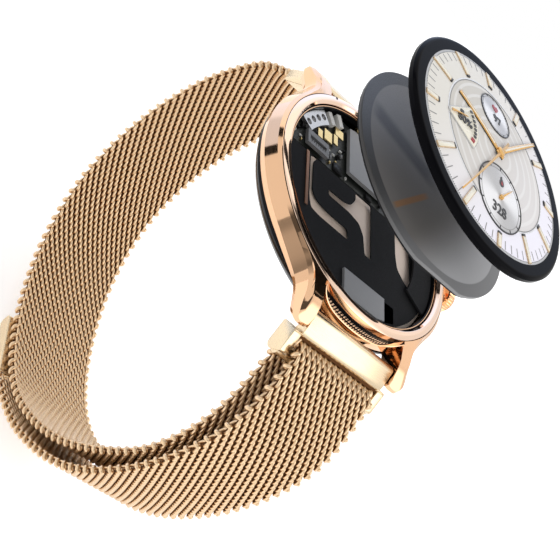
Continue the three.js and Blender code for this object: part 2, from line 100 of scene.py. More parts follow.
class Shader(Nodes):
    """A principled material whose colour, roughness and bump come from nodes."""

    def __init__(self, name):
        self.material = bpy.data.materials.new(name)
        self.material.use_nodes = True
        super().__init__(self.material.node_tree)
        self.bsdf = self.tree.nodes["Principled BSDF"]
        self.coord = self.tree.nodes.new("ShaderNodeTexCoord")
        self.split = None

    def set(self, **values):
        for key, value in values.items():
            self.bsdf.inputs[key.replace("_", " ")].default_value = value
        return self

    def scaled(self, scale):
        """Object coordinates multiplied by scale on each axis."""
        node = self.tree.nodes.new("ShaderNodeMapping")
        node.inputs["Scale"].default_value = scale
        self.link(self.coord.outputs["Object"], node.inputs["Vector"])
        return node.outputs["Vector"]

    def axis(self, letter):
        """One object coordinate, in millimetres."""
        if self.split is None:
            self.split = self.tree.nodes.new("ShaderNodeSeparateXYZ")
            self.link(self.scaled((1000, 1000, 1000)), self.split.inputs[0])
        return self.split.outputs[letter]

    def noise(self, scale, detail=3.0, stretch=(1, 1, 1)):
        node = self.tree.nodes.new("ShaderNodeTexNoise")
        node.inputs["Scale"].default_value = scale
        node.inputs["Detail"].default_value = detail
        self.link(self.scaled(stretch), node.inputs["Vector"])
        return node.outputs[0]

    def times(self, first, second):
        return self.math("MULTIPLY", first, second)

    def minus(self, first, second):
        return self.math("SUBTRACT", first, second)

    def radius(self, x=0.0, y=0.0):
        """Distance in millimetres from a point in the X-Y plane."""
        dx, dy = self.minus(self.axis("X"), x), self.minus(self.axis("Y"), y)
        return self.math("SQRT", self.math("ADD", self.times(dx, dx), self.times(dy, dy)))

    def across(self, start, end):
        """Distance in millimetres from the line through two points, and the place along it, 0 to 1."""
        dx, dy = end[0] - start[0], end[1] - start[1]
        length = math.hypot(dx, dy)
        ux, uy = dx / length, dy / length
        px, py = self.minus(self.axis("X"), start[0]), self.minus(self.axis("Y"), start[1])
        along = self.math("ADD", self.times(px, ux), self.times(py, uy))
        side = self.minus(self.times(px, uy), self.times(py, ux))
        return self.math("ABSOLUTE", side), self.math("DIVIDE", along, length)

    def color(self, source):
        self.link(source, self.bsdf.inputs["Base Color"])
        return self

    def rough(self, source):
        self.link(source, self.bsdf.inputs["Roughness"])
        return self

    def bump(self, source, strength, distance):
        node = self.tree.nodes.new("ShaderNodeBump")
        node.inputs["Strength"].default_value = strength
        node.inputs["Distance"].default_value = distance
        self.link(source, node.inputs["Height"])
        self.link(node.outputs[0], self.bsdf.inputs["Normal"])
        return self


def worn(name, first, second, metallic, low, high, scale=260.0, stretch=(1, 1, 1), grain=2600.0,
         depth=1.5e-6, **extra):
    """A surface whose tint drifts between two colours, with fine grain in its roughness and height."""
    shader = Shader(name).set(Metallic=metallic, **extra)
    shader.color(shader.mix(shader.noise(scale), first, second))
    fine = shader.noise(grain, 4.0, stretch)
    shader.rough(shader.smooth(fine, 0.25, 0.75, low, high))
    shader.bump(fine, 0.35, depth)
    return shader.material


ROSE_GOLD = worn("rose_gold", (0.90, 0.57, 0.35), (0.84, 0.50, 0.29),
                 1.0, 0.045, 0.09, scale=60, depth=3e-7)
RIM_METAL = worn("rim_metal", (0.95, 0.70, 0.54), (0.92, 0.65, 0.48),
                 1.0, 0.04, 0.08, scale=60, depth=3e-7)
PALE_GOLD = worn("pale_gold", (0.84, 0.68, 0.46), (0.80, 0.63, 0.42), 1.0, 0.20, 0.30,
                 stretch=(0.08, 1, 1), grain=5000, depth=1.5e-6)
WIRE = worn("woven_wire", (0.88, 0.65, 0.42), (0.78, 0.55, 0.33),
            1.0, 0.24, 0.38, scale=900, grain=7000, depth=2e-6)
# Dark brown of painted shade, for the sheet inside the strap and the strip at the fold.
WIRE_SHADE = worn("wire_shade", (0.16, 0.07, 0.025), (0.11, 0.045, 0.016),
                  0.0, 0.7, 0.9, Specular_IOR_Level=0.1)
STEEL = worn("steel", (0.62, 0.62, 0.62), (0.52, 0.52, 0.53), 1.0, 0.22, 0.38)
GOLD = worn("gold_plate", (0.90, 0.72, 0.36), (0.80, 0.60, 0.28), 1.0, 0.22, 0.36)
COPPER = worn("copper_foil", (0.42, 0.22, 0.13), (0.30, 0.15, 0.09), 0.6, 0.35, 0.5)
GLOSS_BLACK = worn("gloss_black", (0.004, 0.004, 0.005), (0.008, 0.008, 0.009),
                   0.0, 0.04, 0.09, depth=2e-7,
                    Specular_IOR_Level=0.06)
BLACK_PART = worn("black_part", (0.008, 0.008, 0.009), (0.018, 0.018, 0.019),
                  0.0, 0.35, 0.55, Specular_IOR_Level=0.12)
GRAPHITE = worn("graphite", (0.016, 0.016, 0.017), (0.021, 0.021, 0.022),
                0.0, 0.55, 0.72, grain=6000, depth=2e-6,
                Specular_IOR_Level=0.05)
BOARD = worn("board", (0.010, 0.013, 0.011), (0.022, 0.025, 0.020), 0.0, 0.35, 0.6, scale=900)
GREY = worn("shield_grey", (0.24, 0.24, 0.245), (0.20, 0.20, 0.205), 0.3, 0.40, 0.55)
CHASSIS = worn("chassis_metal", (0.96, 0.80, 0.68), (0.92, 0.75, 0.63), 0.0, 0.42, 0.55)
RUBBER = worn("rubber", (0.02, 0.02, 0.02), (0.03, 0.03, 0.03), 0.0, 0.8, 0.95)
WHITE_PART = worn("white_part", (0.80, 0.79, 0.76), (0.70, 0.69, 0.66), 0.0, 0.3, 0.5)


# ---------------------------------------------------------------- mesh helpers
def make(name, verts, faces, material, sharp=32.0):
    """A smooth-shaded mesh object from points in millimetres."""
    mesh = bpy.data.meshes.new(name)
    mesh.from_pydata([(x * MM, y * MM, z * MM) for x, y, z in verts], [], faces)
    mesh.validate()
    mesh.update()
    obj = bpy.data.objects.new(name, mesh)
    bpy.context.scene.collection.objects.link(obj)
    mesh.materials.append(material)
    shade(mesh, sharp)
    return obj


def shade(mesh, sharp):
    """Smooth shading that keeps edges sharper than the angle."""
    mesh.polygons.foreach_set("use_smooth", [True] * len(mesh.polygons))
    mesh.set_sharp_from_angle(angle=math.radians(sharp))


def polar(radius, degrees):
    return radius * math.cos(math.radians(degrees)), radius * math.sin(math.radians(degrees))


class Solid:
    """Collects points and faces of several closed shapes into one mesh."""

    def __init__(self):
        self.verts = []
        self.faces = []

    def add(self, verts, faces):
        base = len(self.verts)
        self.verts += [tuple(v) for v in verts]
        self.faces += [tuple(base + i for i in face) for face in faces]
        return self

    def loops(self, rings, closed=False, caps=True):
        """Skin between rings of equal length, each a closed loop of points."""
        count = len(rings[0])
        faces = []
        last = len(rings) if closed else len(rings) - 1
        for k in range(last):
            a, b = k * count, ((k + 1) % len(rings)) * count
            for i in range(count):
                j = (i + 1) % count
                faces.append((a + i, a + j, b + j, b + i))
        if caps and not closed:
            faces.append(tuple(reversed(range(count))))
            faces.append(tuple((len(rings) - 1) * count + i for i in range(count)))
        return self.add([p for ring in rings for p in ring], faces)

    def lathe(self, profile, sides=192, centre=(0.0, 0.0)):
        """Closed solid of revolution about Z from [radius, z] points; radius 0 at an end closes it there."""
        on_axis = profile[0][0] == 0 and profile[-1][0] == 0
        body = profile[1:-1] if on_axis else profile
        rings = []
        for radius, z in body:
            rings.append([(centre[0] + polar(radius, 360 * i / sides)[0],
                           centre[1] + polar(radius, 360 * i / sides)[1], z) for i in range(sides)])
        if not on_axis:
            return self.loops(rings, closed=True)
        base = len(self.verts)
        self.loops(rings, caps=False)
        for ring, z, flip in ((0, profile[0][1], True), (len(rings) - 1, profile[-1][1], False)):
            self.verts.append((centre[0], centre[1], z))
            tip = len(self.verts) - 1
            for i in range(sides):
                a, b = base + ring * sides + i, base + ring * sides + (i + 1) % sides
                self.faces.append((b, a, tip) if flip else (a, b, tip))
        return self

    def prism(self, outline, low, high, lift=None):
        """Outline in the X-Y plane from low to high; lift(x, y) adds a height."""
        raised = lift or (lambda x, y: 0.0)
        return self.loops([[(x, y, z + raised(x, y)) for x, y in outline] for z in (low, high)])

    def prism_x(self, outline, low, high):
        """Outline in the Y-Z plane from one X to another."""
        return self.loops([[(x, y, z) for y, z in outline] for x in (low, high)])

    def box(self, low, high):
        (x0, y0, z0), (x1, y1, z1) = low, high
        return self.prism([(x0, y0), (x1, y0), (x1, y1), (x0, y1)], z0, z1)

    def rod_x(self, radius, low, high, y, z, sides=48):
        circle = [(y + polar(radius, 360 * i / sides)[0], z + polar(radius, 360 * i / sides)[1])
                  for i in range(sides)]
        return self.prism_x(circle, low, high)

    def make(self, name, material, body, sharp=32.0, bevel=0.0, segments=3, slot=None, replaces=()):
        obj = make(name, self.verts, self.faces, material, sharp)
        fix_normals(obj)
        if bevel:
            bevelled(obj, bevel, segments, sharp)
        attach(obj, body)
        if replaces:
            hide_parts(*replaces)
        return obj


def fix_normals(obj):
    bm = bmesh.new()
    bm.from_mesh(obj.data)
    bmesh.ops.recalc_face_normals(bm, faces=bm.faces)
    bm.to_mesh(obj.data)
    bm.free()


def applied(obj):
    """Bakes the modifiers of an object into its mesh."""
    graph = bpy.context.evaluated_depsgraph_get()
    graph.update()
    mesh = bpy.data.meshes.new_from_object(obj.evaluated_get(graph))
    obj.modifiers.clear()
    obj.data = mesh
    return obj


def bevelled(obj, width, segments, sharp):
    modifier = obj.modifiers.new("bevel", "BEVEL")
    modifier.width = width * MM
    modifier.segments = segments
    modifier.limit_method = "ANGLE"
    modifier.angle_limit = math.radians(28)
    modifier.harden_normals = True
    applied(obj)
    shade(obj.data, max(sharp, 40.0))


def rounded(points, radius, steps=4):
    """Rounds each corner of a closed outline."""
    out = []
    count = len(points)
    for i in range(count):
        before, here, after = (Vector(points[(i + k) % count]) for k in (-1, 0, 1))
        a, b = before - here, after - here
        reach = min(radius, a.length * 0.48, b.length * 0.48)
        start, end = here + a.normalized() * reach, here + b.normalized() * reach
        for k in range(steps + 1):
            t = k / steps
            out.append(tuple(start * (1 - t) ** 2 + here * 2 * t * (1 - t) + end * t * t))
    return out


def bezier(p0, p1, p2, p3, count):
    """Points on a cubic, without its last point."""
    out = []
    for k in range(count):
        t = k / count
        s = 1 - t
        out.append(tuple(s ** 3 * a + 3 * s * s * t * b + 3 * s * t * t * c + t ** 3 * d
                         for a, b, c, d in zip(p0, p1, p2, p3)))
    return out


# ---------------------------------------------------------------- strap of woven wire
FOLD_CENTRE = np.array([-27.8, 0.4])
FOLD_R = 2.5
FOLD_FROM, FOLD_TO = -40.0, 141.0


def on_fold(degrees):
    y, z = polar(FOLD_R, degrees)
    return [FOLD_CENTRE[0] + y, FOLD_CENTRE[1] + z]


INNER = [
    [31.4, -1.4], [38.4, -9.6], [42.5, -24.0], [41.6, -40.0], [35.0, -54.0], [22.5, -63.0],
    [5.0, -66.2], [-11.0, -62.4], [-25.0, -49.6], [-33.8, -32.0], [-35.3, -20.0], [-32.5, -9.8],
    on_fold(FOLD_FROM),
]
TAIL = [
    on_fold(FOLD_TO), [-34.7, -4.2], [-37.5, -10.8], [-38.4, -20.0], [-37.3, -30.3], [-33.9, -41.4],
    [-28.4, -50.8], [-20.0, -59.9], [-12.4, -65.2], [-5.4, -68.5],
]


def spline(points, per=160):
    """Smooth curve through the points, sampled densely."""
    p = np.array(points, float)
    out = []
    for k in range(len(p) - 1):
        p1, p2 = p[k], p[k + 1]
        p0, p3 = p[max(k - 1, 0)], p[min(k + 2, len(p) - 1)]
        v0, v1 = (p2 - p0) / 2, (p3 - p1) / 2
        for t in np.arange(per) / per:
            out.append((2 * p1 - 2 * p2 + v0 + v1) * t ** 3
                       + (-3 * p1 + 3 * p2 - 2 * v0 - v1) * t * t + v0 * t + p1)
    out.append(p[-1])
    return np.array(out)


def length_of(line):
    return float(np.linalg.norm(np.diff(line, axis=0), axis=1).sum())


inner_line, tail_line = spline(INNER), spline(TAIL)
fold_line = np.array([on_fold(a) for a in np.linspace(FOLD_FROM, FOLD_TO, 120)])
BAND = np.concatenate([inner_line, fold_line[1:], tail_line[1:]])
BAND_S = np.concatenate([[0.0], np.cumsum(np.linalg.norm(np.diff(BAND, axis=0), axis=1))])
INNER_LENGTH = length_of(inner_line)
FOLD_END = INNER_LENGTH + length_of(fold_line)
TAIL_LENGTH = length_of(tail_line)
BAND_T = np.gradient(BAND, BAND_S, axis=0)
BAND_T /= np.linalg.norm(BAND_T, axis=1)[:, None]


def band_point(x, s, w):
    """Strap coordinates (across, along, out of the surface) to the row frame, in millimetres."""
    inside = np.clip(s, 0.0, BAND_S[-1])
    away = np.maximum(np.abs(s - (INNER_LENGTH + FOLD_END) / 2) - 5.0, 0.0) / 9.0
    ends = np.minimum(inside / 8.0, 1.0)
    x = x * (0.95 + 0.05 * np.minimum(away, 1.0) * ends)
    over = s - inside
    y, z = (np.interp(inside, BAND_S, BAND[:, k]) for k in (0, 1))
    ty, tz = (np.interp(inside, BAND_S, BAND_T[:, k]) for k in (0, 1))
    return np.stack([x, y + over * ty - w * tz, z + over * tz + w * ty], axis=-1)


ROW_PITCH = 1.035  # rows of coils along the strap
TURN_PITCH = 1.29  # turns of one coil across the strap
TURNS = 14
WIRE_R = 0.27
REACH = 0.84
RISE = 0.5
PER_TURN = 16
SIDES = 6
EDGE_X = 9.05
LOOP_R = 0.37


def flattened(value, power):
    return np.sign(value) * np.abs(value) ** power


def tube(points, radius, sides=SIDES):
    """Round wire along points in the row frame, with rounded ends."""
    tangent = np.gradient(points, axis=0)
    tangent /= np.linalg.norm(tangent, axis=1)[:, None]
    side = np.array([0.6, 0.64, 0.48]) if abs(tangent[len(points) // 2][0]) > 0.9 else np.array([1.0, 0, 0])
    side = side - (tangent @ side)[:, None] * tangent
    side /= np.linalg.norm(side, axis=1)[:, None]
    up = np.cross(tangent, side)
    around = 2 * np.pi * np.arange(sides) / sides
    ring = (points[:, None] + radius[:, None, None] * (
        np.cos(around)[None, :, None] * side[:, None] + np.sin(around)[None, :, None] * up[:, None]))
    count = len(points)
    reach = radius[0] * 0.55
    verts = np.concatenate([ring.reshape(-1, 3), points[:1] - tangent[:1] * reach,
                            points[-1:] + tangent[-1:] * reach])
    index = np.arange(count * sides).reshape(count, sides)
    a, b = index[:-1], index[1:]
    quads = np.stack([a, np.roll(a, -1, 1), np.roll(b, -1, 1), b], axis=-1).reshape(-1, 4)
    first, last = count * sides, count * sides + 1
    caps = [(index[0][(i + 1) % sides], index[0][i], first) for i in range(sides)]
    caps += [(index[-1][i], index[-1][(i + 1) % sides], last) for i in range(sides)]
    return verts, quads, np.array(caps)


def coil_row(s, shift):
    """One flattened coil of wire across the strap."""
    t = np.linspace(0.0, TURNS, PER_TURN * TURNS + 1) + shift
    angle = 2 * np.pi * t
    x = (t - shift - TURNS / 2) * TURN_PITCH
    along = REACH * flattened(np.cos(angle), 0.9)
    out = RISE * flattened(np.sin(angle), 0.75)
    radius = np.full(len(t), WIRE_R)
    radius[0] = radius[-1] = WIRE_R * 0.8
    return tube(band_point(x, s + along, out), radius)


def edge_loop(s, side):
    """Hooked end where the wires of two neighbouring rows are joined at the strap's edge."""
    t = np.linspace(-1.0, 1.0, 11)
    x = side * (EDGE_X - 0.1 + 0.42 * np.sqrt(1.0001 - t * t))
    points = band_point(x, s + ROW_PITCH / 2 + 0.3 * t, 0.6 * t)
    return tube(points, LOOP_R * (0.85 + 0.25 * (1 - t * t)), 8)


def woven(name, rows, body, nodes):
    """One stretch of the strap: the coils at the given places, riding on one body."""
    verts, quads, tris, base = [], [], [], 0
    shapes = [coil_row(s, 0.5 * (k % 2)) for k, s in rows]
    shapes += [edge_loop(s, side) for k, s in rows if k % 2 == 0 for side in (-1, 1)]
    for v, q, c in shapes:
        verts.append(v)
        quads.append(q + base)
        tris.append(c + base)
        base += len(v)
    v, q, c = np.concatenate(verts) * MM, np.concatenate(quads), np.concatenate(tris)
    mesh = bpy.data.meshes.new(name)
    mesh.vertices.add(len(v))
    mesh.vertices.foreach_set("co", v.astype(np.float32).ravel())
    mesh.loops.add(q.size + c.size)
    mesh.loops.foreach_set("vertex_index", np.concatenate([q.ravel(), c.ravel()]).astype(np.int32))
    mesh.polygons.add(len(q) + len(c))
    starts = np.concatenate([np.arange(len(q)) * 4, q.size + np.arange(len(c)) * 3])
    mesh.polygons.foreach_set("loop_start", starts.astype(np.int32))
    mesh.update(calc_edges=True)
    mesh.validate()
    mesh.polygons.foreach_set("use_smooth", [True] * len(mesh.polygons))
    mesh.materials.append(WIRE)
    obj = bpy.data.objects.new(name, mesh)
    bpy.context.scene.collection.objects.link(obj)
    fix_normals(obj)
    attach(obj, body)
    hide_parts(*nodes)
    return obj


def backing(name, start, end, body):
    """Dark sheet of painted shade inside the woven strap, seen only between its wires."""
    rings = []
    for s in np.linspace(start, end, max(2, round((end - start) / 1.2)) + 1):
        x, w = np.array([-8.8, 8.8, 8.8, -8.8]), np.array([-0.08, -0.08, 0.08, 0.08])
        rings.append([tuple(corner) for corner in band_point(x, np.full(4, s), w)])
    Solid().loops(rings).make(f"{name}_core", WIRE_SHADE, body)


ROOT_END = 6.2
FOLD_START = INNER_LENGTH - 7.2
MAIN_SPAN = (FOLD_START - ROOT_END) / 5
TAIL_SPAN = TAIL_LENGTH / 4
STRETCHES = [("weave_root", 0.0, ROOT_END, "end_link", ["strap_root"])]
for k in range(5):
    STRETCHES.append((f"weave_main_{k + 1}", ROOT_END + MAIN_SPAN * k, ROOT_END + MAIN_SPAN * (k + 1),
                      "strap_loop", [f"strap_mesh_{k + 1}"]))
STRETCHES.append(("weave_fold", FOLD_START, FOLD_END, "buckle", ["strap_fold"]))
for k in range(4):
    STRETCHES.append((f"weave_tail_{k + 1}", FOLD_END + TAIL_SPAN * k, FOLD_END + TAIL_SPAN * (k + 1),
                      f"tail_link_{k + 1}", [f"tail_{k + 1}"]))
ROWS = list(enumerate(np.arange(0.4, BAND_S[-1] - 0.4, ROW_PITCH)))
for name, start, end, body, nodes in STRETCHES:
    woven(name, [(k, s) for k, s in ROWS if start <= s < end], body, nodes)
    backing(name, max(start, 0.4) + 0.03, min(end, BAND_S[-1] - 0.8) - 0.03, body)


# ---------------------------------------------------------------- case
ALONG_LUG = [0.0, 13.5, 16.5, 18.5, 22.0, 24.9, 26.1]
BODY_TOP = (ALONG_LUG, [8.95, 8.95, 9.0, 8.95, 8.3, 7.1, 5.9])
EDGE_TOP = (ALONG_LUG, [8.93, 8.93, 8.9, 8.7, 8.0, 6.8, 5.75])
FLANK_TOP = (ALONG_LUG, [8.5, 8.5, 8.4, 8.2, 7.55, 6.45, 5.55])
LUG_TIP_LOW = ([0.0, 13.5, 19.0, 21.6, 24.4, 26.0], [5.35, 5.35, 4.9, 4.6, 4.1, 4.6])
BELLY = ([0.0, 13.5, 19.0, 23.0, 26.0], [6.5, 6.5, 5.9, 5.2, 5.0])
LUG_IN = 9.7
LUG_FROM = 40  # degrees from 3 o'clock where the round body turns into a lug
ROUND_STEPS, FLARE_STEPS, CORNER_STEPS, FOOT_STEPS, WALL_STEPS = 36, 24, 6, 12, 24
WALL_FROM = ROUND_STEPS + FLARE_STEPS + 2 * CORNER_STEPS + FOOT_STEPS


def quarter(radius, outer, tip, wall):
    """Outline of one quarter of the case with its lug, from 3 o'clock to 12 o'clock."""
    turn = math.radians(LUG_FROM)
    start = polar(radius, LUG_FROM)
    points = [polar(radius, LUG_FROM * i / ROUND_STEPS) for i in range(ROUND_STEPS)]
    along = (start[0] - 7.6 * math.sin(turn), start[1] + 7.6 * math.cos(turn))
    points += bezier(start, along, (outer + 0.1, tip - 6.5), (outer, tip - 1.6), FLARE_STEPS)
    points += bezier((outer, tip - 1.6), (outer, tip - 0.35), (outer - 0.55, tip), (outer - 1.3, tip),
                     CORNER_STEPS)
    points += bezier((outer - 1.3, tip), (LUG_IN + 0.5, tip), (LUG_IN, tip - 0.1), (LUG_IN, tip - 0.8),
                     CORNER_STEPS)
    foot = math.sqrt(wall ** 2 - LUG_IN ** 2)
    points += [(LUG_IN, tip - 0.8 + (foot - tip + 0.8) * i / FOOT_STEPS) for i in range(FOOT_STEPS)]
    first = math.degrees(math.acos(LUG_IN / wall))
    points += [polar(wall, first + (90 - first) * i / WALL_STEPS) for i in range(WALL_STEPS + 1)]
    return points


def mirrored(points):
    """The whole outline from the points of one quarter."""
    back = list(reversed(points))
    return ([p for p in points[:-1]] + [(-x, y, z) for x, y, z in back[:-1]]
            + [(-x, -y, z) for x, y, z in points[:-1]] + [(x, -y, z) for x, y, z in back[:-1]])


def wall_top(x):
    """Height of the case wall between two lugs, low in the middle."""
    return 6.75 + 2.2 * (min(abs(x), LUG_IN) / LUG_IN) ** 5


def case_ring(radius, outer, tip, wall, profile, wall_z):
    """Outline of the case whose height follows a profile, or wall_z between the lugs."""
    return mirrored([(x, y, wall_z(x) if index >= WALL_FROM else float(np.interp(abs(y), *profile)))
                     for index, (x, y) in enumerate(quarter(radius, outer, tip, wall))])


def circle_ring(radius, z, template=None):
    """Circle whose points match those of a case ring; a template replaces its height."""
    first = math.degrees(math.acos(LUG_IN / radius))
    points = []
    for index in range(WALL_FROM + WALL_STEPS + 1):
        if index < ROUND_STEPS:
            angle = LUG_FROM * index / ROUND_STEPS
        elif index < WALL_FROM:
            angle = LUG_FROM + (first - LUG_FROM) * min(1.0, (index - ROUND_STEPS) / 30)
        else:
            angle = first + (90 - first) * (index - WALL_FROM) / WALL_STEPS
        x, y = polar(radius, angle)
        height = z
        if template is not None:
            height = wall_top(x) if index >= WALL_FROM else float(np.interp(y, *template))
        points.append((x, y, height))
    return mirrored(points)


def between(first, second, share, profile):
    """Ring between two rings, its height taken from the profile of the lugs' upper face."""
    half = WALL_FROM + WALL_STEPS
    ring = []
    for index, (a, b) in enumerate(zip(first, second)):
        x, y, z = (p + (q - p) * share for p, q in zip(a, b))
        place = index % (2 * half)
        if ROUND_STEPS < min(place, 2 * half - place) < WALL_FROM:
            z = float(np.interp(abs(y), *profile))
        ring.append((x, y, z))
    return ring


def build_case():
    bottom = case_ring(22.25, 12.45, 24.6, 21.85, LUG_TIP_LOW, lambda x: 4.9)
    belly = case_ring(22.65, 12.8, 26.0, 21.95, BELLY, lambda x: 5.6)
    flank = case_ring(21.95, 12.75, 25.95, 21.95, FLANK_TOP, lambda x: wall_top(x) - 0.15)
    edge = case_ring(21.42, 12.15, 25.45, 21.85, EDGE_TOP, wall_top)
    seat = circle_ring(21.3, 8.95, BODY_TOP)
    rings = [bottom, belly, flank, edge]
    rings += [between(edge, seat, share, BODY_TOP) for share in (0.25, 0.5, 0.75)]
    rings += [seat, circle_ring(21.27, 6.6), circle_ring(19.65, 6.6), circle_ring(19.65, 4.75),
              circle_ring(20.2, 4.7)]
    Solid().loops(rings, closed=True).make("case_middle", ROSE_GOLD, "case", sharp=24,
                                           slot="rose_gold_case", replaces=["mid_case"])


build_case()
Solid().lathe([(19.5, 7.5), (21.15, 7.5), (21.2, 7.56), (21.2, 8.96), (21.15, 9.03), (20.56, 9.37),
               (20.48, 9.4), (19.92, 9.4), (19.86, 9.37), (19.52, 8.95), (19.5, 8.88)], 288).make(
    "rim", RIM_METAL, "case", sharp=22, slot="rim_metal", replaces=["rim_ring"])
Solid().lathe([(20.4, 6.65), (21.24, 6.65), (21.24, 7.9), (21.1, 7.98), (20.4, 7.98)], 240).make(
    "rim_seal", GLOSS_BLACK, "case", sharp=25)
teeth = Solid()
for step in range(30):
    for turn in (67 + 1.6 * step, 247 + 1.6 * step):
        teeth.prism([polar(21.1, turn - 0.4), polar(21.32, turn - 0.4), polar(21.32, turn + 0.4),
                     polar(21.1, turn + 0.4)], 6.9, 7.35)
teeth.make("seal_teeth", STEEL, "case", sharp=30)
Solid().lathe([(18.98, 7.55), (19.42, 7.55), (19.42, 8.5), (19.36, 8.6), (19.04, 8.6), (18.98, 8.54)]).make(
    "inner_gasket", GLOSS_BLACK, "case", sharp=25)
Solid().lathe([(19.15, 8.62), (19.27, 8.62), (19.27, 8.7), (19.15, 8.7)], 192).make(
    "gasket_bead", ROSE_GOLD, "case", sharp=25)
Solid().lathe([(0, 0), (0.26, 0), (0.26, 0.03), (0, 0.03)], 32, (-9.2, 18.5)).make(
    "rim_port", BLACK_PART, "case").location.z = 9.39 * MM

back = Solid().lathe([(13.5, 0.95), (13.56, 0.9), (17.4, 1.3), (20.6, 2.9), (21.7, 4.1), (22.0, 4.6),
                      (22.06, 5.1), (21.98, 5.18), (20.3, 4.62), (19.0, 4.3), (17.6, 3.1), (13.5, 3.1)], 192)
back_plate = back.make("case_back_plate", GLOSS_BLACK, "case", sharp=22, slot="black_back",
                       replaces=["case_back"])


def carve(obj, cutter):
    """Cuts one solid out of another."""
    tool = make("cutter", cutter.verts, cutter.faces, GLOSS_BLACK)
    fix_normals(tool)
    modifier = obj.modifiers.new("cut", "BOOLEAN")
    modifier.object = tool
    modifier.operation = "DIFFERENCE"
    modifier.solver = "EXACT"
    applied(obj)
    shade(obj.data, 24)
    bpy.data.objects.remove(tool)


holes = Solid()
for index, degrees in enumerate((45, 135, 225, 315)):
    place = polar(15.6, degrees)
    holes.lathe([(0, 0.2), (1.05, 0.2), (1.05, 1.98), (0, 1.98)], 40, place)
    head = Solid().lathe([(0, 1.9), (0.9, 1.9), (0.9, 1.4), (0.8, 1.27), (0.3, 1.25), (0, 1.25)], 40, place)
    screw = head.make(
        f"back_screw_head_{index + 1}", STEEL, "case", sharp=25, slot="steel",
        replaces=[f"back_screw_{index + 1}"])
    for turn in (degrees, degrees + 60, degrees + 120):
        ux, uy = polar(1.0, turn)
        corners = [(place[0] + a * 0.5 * ux - b * 0.09 * uy, place[1] + a * 0.5 * uy + b * 0.09 * ux)
                   for a, b in ((-1, -1), (1, -1), (1, 1), (-1, 1))]
        carve(screw, Solid().prism(corners, 1.0, 1.55))
carve(back_plate, holes)

CRYSTAL = Shader("back_crystal").set(Metallic=0.0, IOR=1.5)
CRYSTAL.rough(CRYSTAL.smooth(CRYSTAL.noise(1500.0), 0.3, 0.7, 0.03, 0.08))
window = CRYSTAL.smooth(CRYSTAL.radius(), 7.4, 7.6, 1.0, 0.0)
tint = CRYSTAL.mix(window, (0.006, 0.006, 0.008), (0.03, 0.03, 0.035))
for index in range(8):
    spot_x, spot_y = polar(5.2, 45 * index)
    dot = CRYSTAL.smooth(CRYSTAL.radius(spot_x, spot_y), 0.95, 1.1, 1.0, 0.0)
    tint = CRYSTAL.mix(dot, tint, (0.10, 0.11, 0.10) if index % 2 else (0.004, 0.004, 0.005))
from_ring = CRYSTAL.math("ABSOLUTE", CRYSTAL.minus(CRYSTAL.radius(), 9.6))
CRYSTAL.color(CRYSTAL.mix(CRYSTAL.smooth(from_ring, 0.45, 0.55, 1, 0), tint, (0.22, 0.20, 0.18)))
window = Solid().lathe([(0, 0), (10.5, 0), (11.2, 0.1), (12.1, 0.35), (12.8, 0.65), (13.1, 0.9), (13.2, 1.1),
                        (13.2, 2.0), (0, 2.0)], 128)
window.make("back_window", CRYSTAL.material, "case", sharp=30, slot="back_glass", replaces=["back_crystal"])


CROWN_Z = 5.9


def build_crown():
    teeth, steps = 32, 6
    count = teeth * steps

    def ring(radius, x, depth):
        points = []
        for i in range(count):
            groove = 0.5 - 0.5 * math.cos(2 * math.pi * i / steps)
            y, z = polar(radius - depth * groove ** 2, 360 * i / count)
            points.append((x, y, CROWN_Z + z))
        return points

    rings = [ring(2.35, 24.1, 0), ring(2.6, 24.25, 0.1), ring(2.7, 24.45, 0.2), ring(2.7, 25.45, 0.2),
             ring(2.6, 25.68, 0.1), ring(2.4, 25.8, 0), ring(2.2, 25.86, 0), ring(2.12, 26.22, 0),
             ring(2.02, 26.3, 0), ring(1.7, 26.3, 0), ring(1.66, 26.22, 0)]
    Solid().loops(rings).make("crown", ROSE_GOLD, "crown_wheel", sharp=30, slot="rose_gold_case",
                              replaces=["crown_knob"])
    inlay = Solid().rod_x(1.5, 26.15, 26.26, 0, CROWN_Z, 64)
    inlay.make("crown_inlay", GLOSS_BLACK, "crown_wheel", bevel=0.05)


build_crown()


# ---------------------------------------------------------------- end piece, buckle, clasp and bars
END_PROFILE = [(22.4, 5.2), (23.0, 4.2), (25.0, 2.9), (28.6, -0.9), (30.0, -2.4), (31.7, -0.8), (28.2, 3.5),
               (25.4, 6.3), (24.2, 6.9), (23.0, 6.7)]
PLATE_PROFILE = [(-22.4, 5.2), (-22.9, 6.8), (-24.0, 7.0), (-26.3, 4.7), (-26.55, 3.85), (-24.8, 2.4),
                 (-24.4, 3.5), (-23.0, 4.1)]
CROSS_PROFILE = [(-24.8, 2.5), (-26.5, 3.75), (-26.5, 4.3), (-25.9, 3.85), (-24.7, 3.05)]
ARM_PROFILE = [(-23.5, 2.1), (-24.6, 2.95), (-25.9, 3.75), (-26.5, 4.2), (-29.0, 1.3), (-27.4, -1.1),
               (-26.3, -1.2)]
CLASP_PROFILE = [(-5.2, -67.6), (7.0, -67.6), (7.6, -68.2), (7.0, -69.9), (6.2, -70.3), (-5.2, -69.7)]

